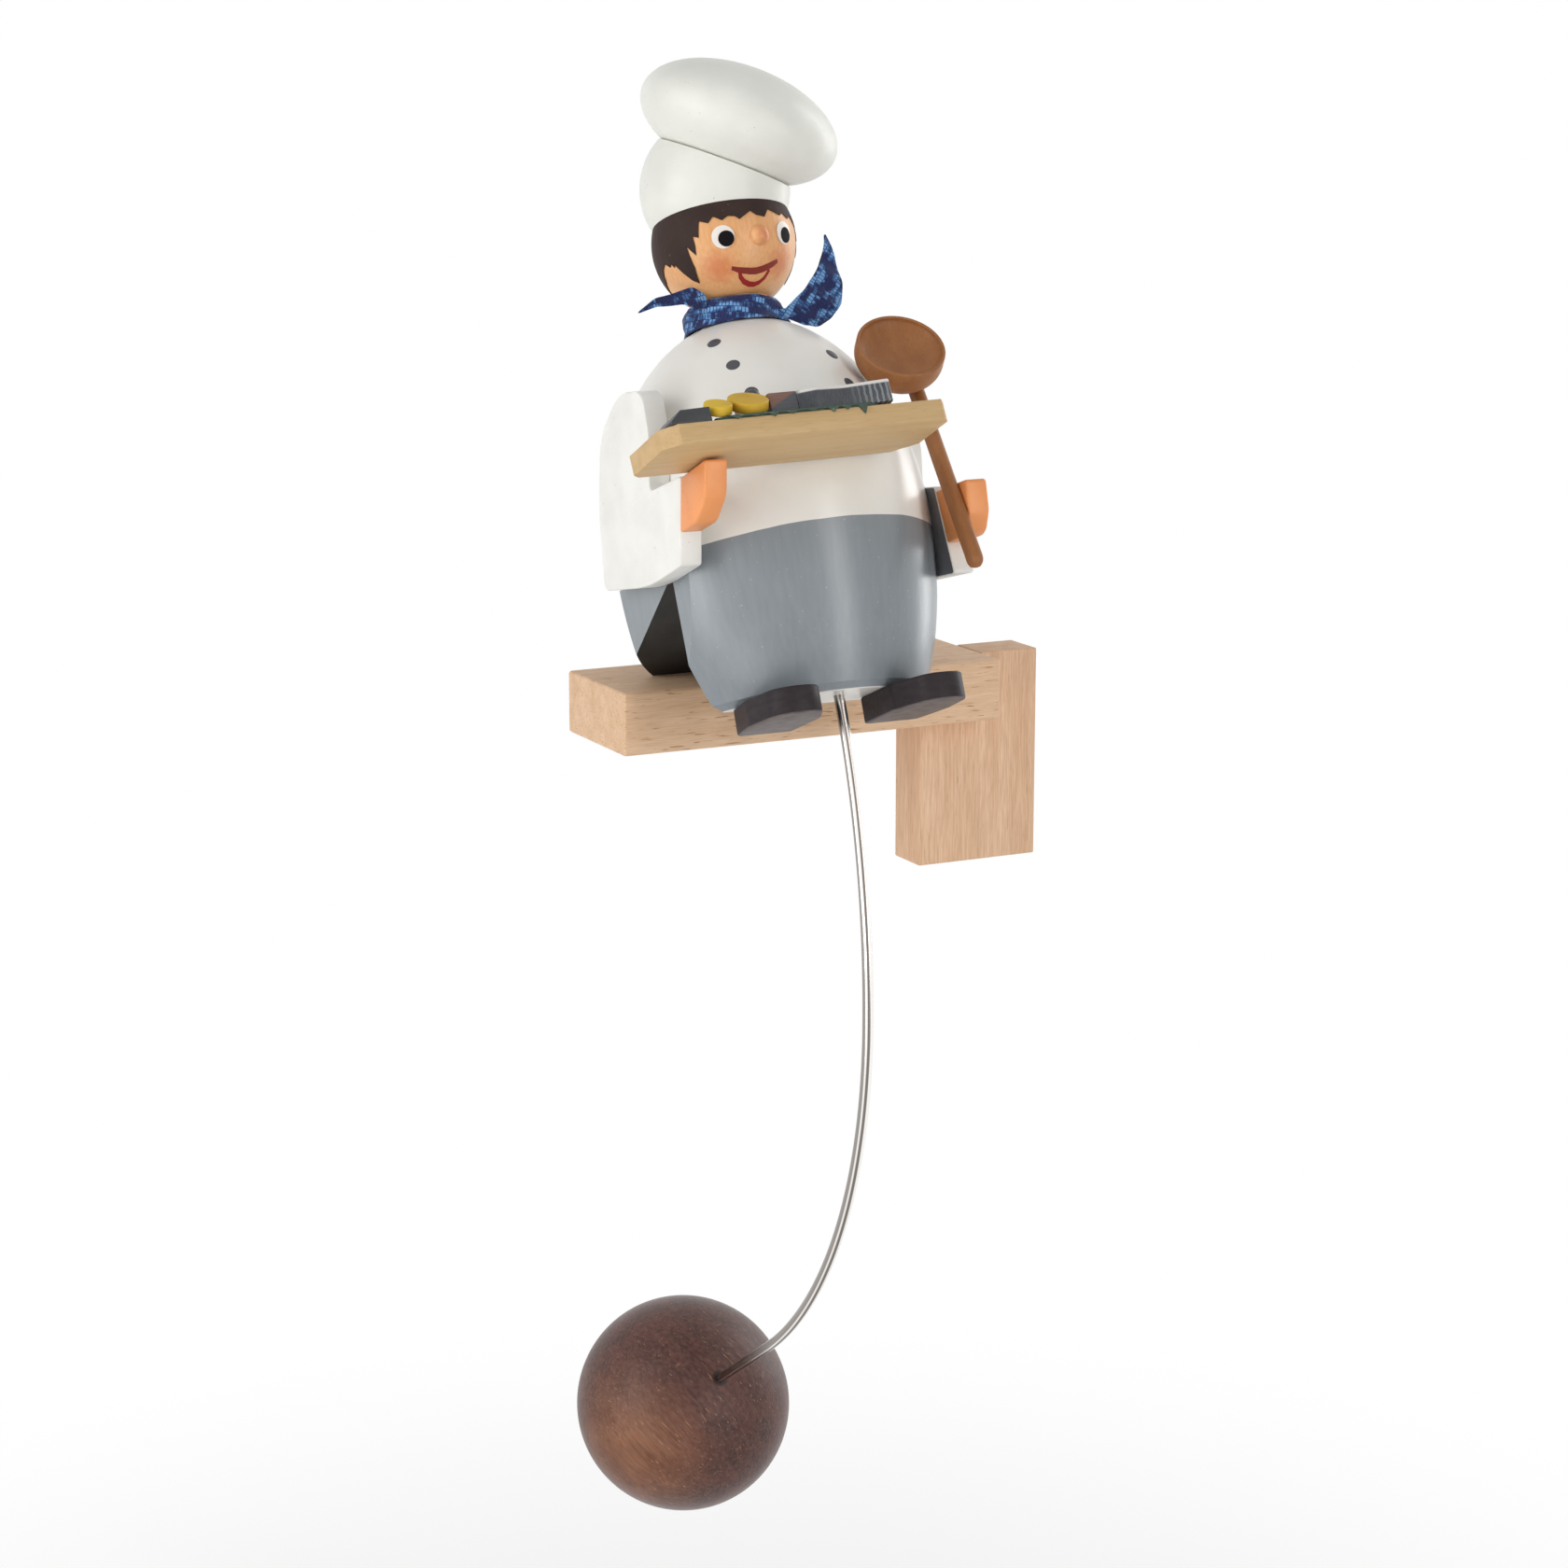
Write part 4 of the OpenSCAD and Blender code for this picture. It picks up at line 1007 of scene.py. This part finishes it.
# %% Lemon slices and olive
LEMON_T, LEMON_LEAN = 2.3, 36
for number, (u, r) in enumerate(((15.3, 3.2), (23.3, 4.6)), start=1):
    lemon = lathe([(0, 0), (r - 0.3, 0)] + arc(r - 0.3, 0.3, 0.3, 0.3, -90, 0, 4)
                  + arc(r - 0.3, LEMON_T - 0.3, 0.3, 0.3, 0, 90, 4) + [(0, LEMON_T)], 64)
    piece(f"lemon_painted_{number}", lemon,
          TRAY @ moved(u, 1.2, TRAY_T + LEAF_T) @ turned(LEMON_LEAN) @ moved(0, r, 0),
          lemon_enamel, nodes=[f"lemon_slice_{number}"], slot="lemon_paint", sharp=60)
OLIVE_R, OLIVE_SEAT = 1.85, 1.7
seat = -math.degrees(math.asin(OLIVE_SEAT / OLIVE_R))
olive = lathe([(0, -OLIVE_SEAT)] + arc(0, 0, OLIVE_R, OLIVE_R, seat, 90, 24), 48)
piece("olive_painted", olive, TRAY @ moved(28, 10.6, fish_top + OLIVE_SEAT), olive_enamel,
      nodes=["olive"], slot="olive_paint", sharp=60)

# %% [markdown]
# ## The spoon
# The bowl was turned: a deep cup with a thick wall and a shallow hollow, so its outline
# runs up the outside, over the rim and down into the hollow. The handle is a flat stick
# with a rounded end, let into the cup from below.

# %% Spoon
SPOON_R, CUP_SIDE, CUP_BACK = 10.5, 3.0, 7.5
WALL, HOLLOW = 0.8, 3.4
inner = SPOON_R - WALL
cup = lathe(arc(0, -CUP_SIDE, SPOON_R, CUP_BACK, -90, 0, 30)
            + arc(SPOON_R - 0.4, -0.4, 0.4, 0.4, 0, 90, 4)
            + arc(inner + 0.4, -0.4, 0.4, 0.4, 90, 180, 4)
            + arc(0, -0.5, inner, HOLLOW - 0.5, 0, -90, 24), 96)
piece("spoon_bowl_turned", cup, FIGURE @ moved(25.4, -32.2, 78.3) @ turned(0, 0, -7)
      @ turned(90 - 32), spoon_wood, nodes=["spoon_bowl"], slot="spoon_stain", sharp=60)
STICK_T, STICK_W, STICK_TOP = 3.0, 4.3, 3.8
stick = board([(-STICK_W / 2, -STICK_W / 2, 2.1), (STICK_W / 2, -STICK_W / 2, 2.1),
               (STICK_TOP / 2, 51, 0), (-STICK_TOP / 2, 51, 0)], STICK_T, 1.1)
piece("spoon_handle_stick", stick, FIGURE @ moved(FLAT_X - STICK_T, -40.2, 25.3)
      @ turned(-17.2) @ SIDEWAYS, spoon_wood, nodes=["spoon_handle"], slot="spoon_stain",
      sharp=40)

# %% [markdown]
# ## Boots
# Two sawn boards glued under the sole, with well-rounded corners. The right one is the
# left one's mirror image, glued on a little further out.

# %% Boots
BOOT = [(8.5, -14, 1), (22.5, -14, 1.5), (24.8, -26, 6), (23.5, -40.5, 6), (13, -40.5, 5),
        (8.5, -30, 5)]
for name, mirror, shift in (("right", -1, -1.5), ("left", 1, 0.0)):
    boot = board(BOOT, FOOT_T, 0.5)
    bmesh.ops.scale(boot, verts=boot.verts, vec=(mirror, 1, 1))
    piece(f"boot_{name}", boot, FIGURE @ moved(shift, 0, -FOOT_T), boot_enamel,
          nodes=[f"{name}_foot"], slot="shoe_paint", sharp=50)

# %% [markdown]
# ## The perch
# A planed beam with broken edges lies in a seat sawn into the post's top. The figure's edge
# rests a hair's breadth, GAP, above it.

# %% Perch
BEAM_L, BEAM_D, BEAM_H = 100.0, 33.0, 15.0
BEAM_FRONT, BEAM_LEFT, GAP = 17.4, 40.0, 0.02
POST_W, POST_T, POST_H, SEAT_W = 32.6, 12.6, 52.0, 17.0
POST_X, POST_Y = BEAM_L - BEAM_LEFT - SEAT_W, -8.0
beam = board([(0, 0, 0.9), (BEAM_D, 0, 0.9), (BEAM_D, BEAM_H, 0.9), (0, BEAM_H, 0.9)],
             BEAM_L, 0.7)
piece("beam_planed", beam,
      FROM_EDGE @ moved(-BEAM_LEFT, -BEAM_FRONT, -BEAM_H - GAP) @ SIDEWAYS, beech_beam,
      body="perch", nodes=["perch_beam"], slot="beech", sharp=40)
post = board([(0, 0, 0), (POST_W, 0, 0), (POST_W, POST_H, 0), (SEAT_W, POST_H, 0),
              (SEAT_W, POST_H - BEAM_H, 0), (0, POST_H - BEAM_H, 0)], POST_T, 0.35)
piece("post_planed", post,
      FROM_EDGE @ moved(POST_X, POST_Y + POST_T, -POST_H - GAP) @ UPRIGHT, beech_post,
      body="perch", nodes=["perch_post"], slot="beech", sharp=40)

# %% [markdown]
# ## Rod and ball
# A curve with a round bevel would do for the rod, but its bends are true arcs, as a bending
# jig makes them. So one circle is drawn along its route: extrude makes the straight lengths
# and spin the bends.


# %% Rod
def grow(bm, ring, step):
    """Extrudes the open ring of edges by a step and returns the new ring."""
    grown = bmesh.ops.extrude_edge_only(bm, edges=ring)["geom"]
    bmesh.ops.translate(bm, verts=[v for v in grown if isinstance(v, bmesh.types.BMVert)],
                        vec=step)
    return [e for e in grown if isinstance(e, bmesh.types.BMEdge)]


def bend(bm, ring, centre, degrees, steps):
    """Spins the open ring of edges about an axis along x."""
    verts = list({v for e in ring for v in e.verts})
    spun = bmesh.ops.spin(bm, geom=verts + ring, cent=centre, axis=(1, 0, 0),
                          angle=math.radians(degrees), steps=steps)
    return [e for e in spun["geom_last"] if isinstance(e, bmesh.types.BMEdge)]


upwards = turned(-UPPER_TURN).to_3x3() @ Vector((0, 0, 1))
rod = bmesh.new()
bmesh.ops.create_circle(rod, segments=24, radius=ROD_R)
bmesh.ops.rotate(rod, verts=rod.verts, cent=(0, 0, 0), matrix=turned(-UPPER_TURN).to_3x3())
bmesh.ops.translate(rod, verts=rod.verts, vec=TORSO_END + upwards * 6)
ring = grow(rod, rod.edges[:], -upwards * 6)
ring = bend(rod, ring, (0, bow_y + UPPER_R, bow_z + BOW), UPPER_TURN, 28)
ring = grow(rod, ring, (0, 0, -BOW))
ring = bend(rod, ring, (0, bow_y + LOWER_R, bow_z), LOWER_TURN, 48)
ring = grow(rod, ring, (ball_at - bend_end) * ((STRAIGHT - 20) / STRAIGHT))
bmesh.ops.holes_fill(rod, edges=[e for e in rod.edges if len(e.link_faces) == 1])
piece("rod_drawn", rod, FROM_EDGE, drawn_steel, nodes=["rod"], slot="bright_steel", sharp=60)

# %% [markdown]
# The ball is a little shorter along the bore than across it. It stands for the solid ball
# and for its plug, whose joint is part of its paint.

# %% Ball
BALL_R, BALL_HALF = 27.8, 26.8
ball = lathe(arc(0, 0, BALL_R, BALL_HALF, -90, 90, 96), 128)
piece("ball_turned", ball, BALL, walnut_stain, nodes=["ball", "ball_plug"],
      slot="walnut_stain", sharp=60)

# %% [markdown]
# The hidden dowels, pins, pegs and the weight stay as plain solids, but with a finish of
# their own, so that nothing is left unfinished when the toy is taken apart.

# %% Hidden pieces
HIDDEN = {"perch_dowel": beech_post, "neck_dowel": beech_post, "hat_pin": beech_post,
          "crown_dowel": beech_post, "right_arm_peg": beech_post, "left_arm_peg": beech_post,
          "ball_weight": drawn_steel}
for node, material in HIDDEN.items():
    frame["nodes"][node].data.materials.clear()
    frame["nodes"][node].data.materials.append(material)
    print(node, "is", material.name)

# %% [markdown]
# ## Light and floor
# Large, soft lamps stand where a photographer would put them: one on each side, a narrow
# one in front that draws the bright band on the trousers, and weak ones above and below.


# %% Lamps
def lamp(name, where, size, watts, at=(-0.06, 0, 0.0)):
    data = bpy.data.lights.new(name, "AREA")
    data.shape = "RECTANGLE"
    data.size, data.size_y = size
    data.energy = watts
    obj = bpy.data.objects.new(name, data)
    obj.location = where
    obj.rotation_euler = (Vector(at) - Vector(where)).to_track_quat("-Z", "Y").to_euler()
    bpy.context.collection.objects.link(obj)
    print(name, "lamp,", watts, "watts")


lamp("left", (-1.42, -0.1, 0.4), (0.5, 1.3), 10.5)
lamp("right", (1.3, 0.35, 0.4), (0.4, 1.3), 7.5)
lamp("front", (0.4, -1.35, 0.25), (0.3, 1.3), 8.0)
lamp("top", (-0.2, -0.3, 1.6), (1.0, 1.0), 2.2)
lamp("low", (-0.9, -0.55, -0.22), (0.6, 0.3), 1.8, (-0.07, 0.0, -0.05))

# %% [markdown]
# The room gives a weak, even light, but the camera and the polished steel see it as plain
# white paper. More light would turn the room white too, but it would wash out the paint.

# %% World
world = bpy.data.worlds.new("studio")
bpy.context.scene.world = world
world.use_nodes = True
tree = world.node_tree
tree.nodes.clear()
ray = add(tree, "LightPath").outputs
seen = add(tree, "Math", ray["Is Glossy Ray"], ray["Is Transmission Ray"], operation="MAXIMUM")
seen = add(tree, "Math", ray["Is Camera Ray"], seen, operation="MAXIMUM")
room = add(tree, "Background", "#ffffff", 0.33)
paper = add(tree, "Background", "#ffffff", 1.0)
add(tree, "OutputWorld", add(tree, "MixShader", seen, room, paper))
bpy.context.scene.view_settings.view_transform = "Standard"
print("world nodes:", len(tree.nodes))

# %% [markdown]
# A pale floor takes the shadow. Further out it turns into plain white for the camera, as
# the world does, so that no horizon shows.

# %% Floor
FLOOR_Z = -0.26
floor_bm = bmesh.new()
bmesh.ops.create_grid(floor_bm, x_segments=1, y_segments=1, size=6.0)
bmesh.ops.translate(floor_bm, verts=floor_bm.verts, vec=(0, 0, FLOOR_Z))
floor = into_scene("floor", floor_bm)
floor_paper, tree, shader, where = finish("floor_paper", Matrix(), 0.9)
fill(tree, shader.inputs["Base Color"], "#f7f7f7")
out = add(tree, "VectorMath", where, (-0.06, 0.0, FLOOR_Z), operation="DISTANCE")
ray = add(tree, "LightPath").outputs
seen = add(tree, "Math", ray["Is Camera Ray"], ray["Is Glossy Ray"], operation="MAXIMUM")
fade = add(tree, "MapRange", out, 0.1, 0.4, 0.6, 1.0, interpolation_type="SMOOTHSTEP")
fade = add(tree, "Math", fade, seen, operation="MULTIPLY")
white = add(tree, "Emission", "#ffffff", 1.0)
both = add(tree, "MixShader", fade, shader, white)
fill(tree, tree.nodes["Material Output"].inputs["Surface"], both)
floor.data.materials.append(floor_paper)
print("floor at", FLOOR_Z)
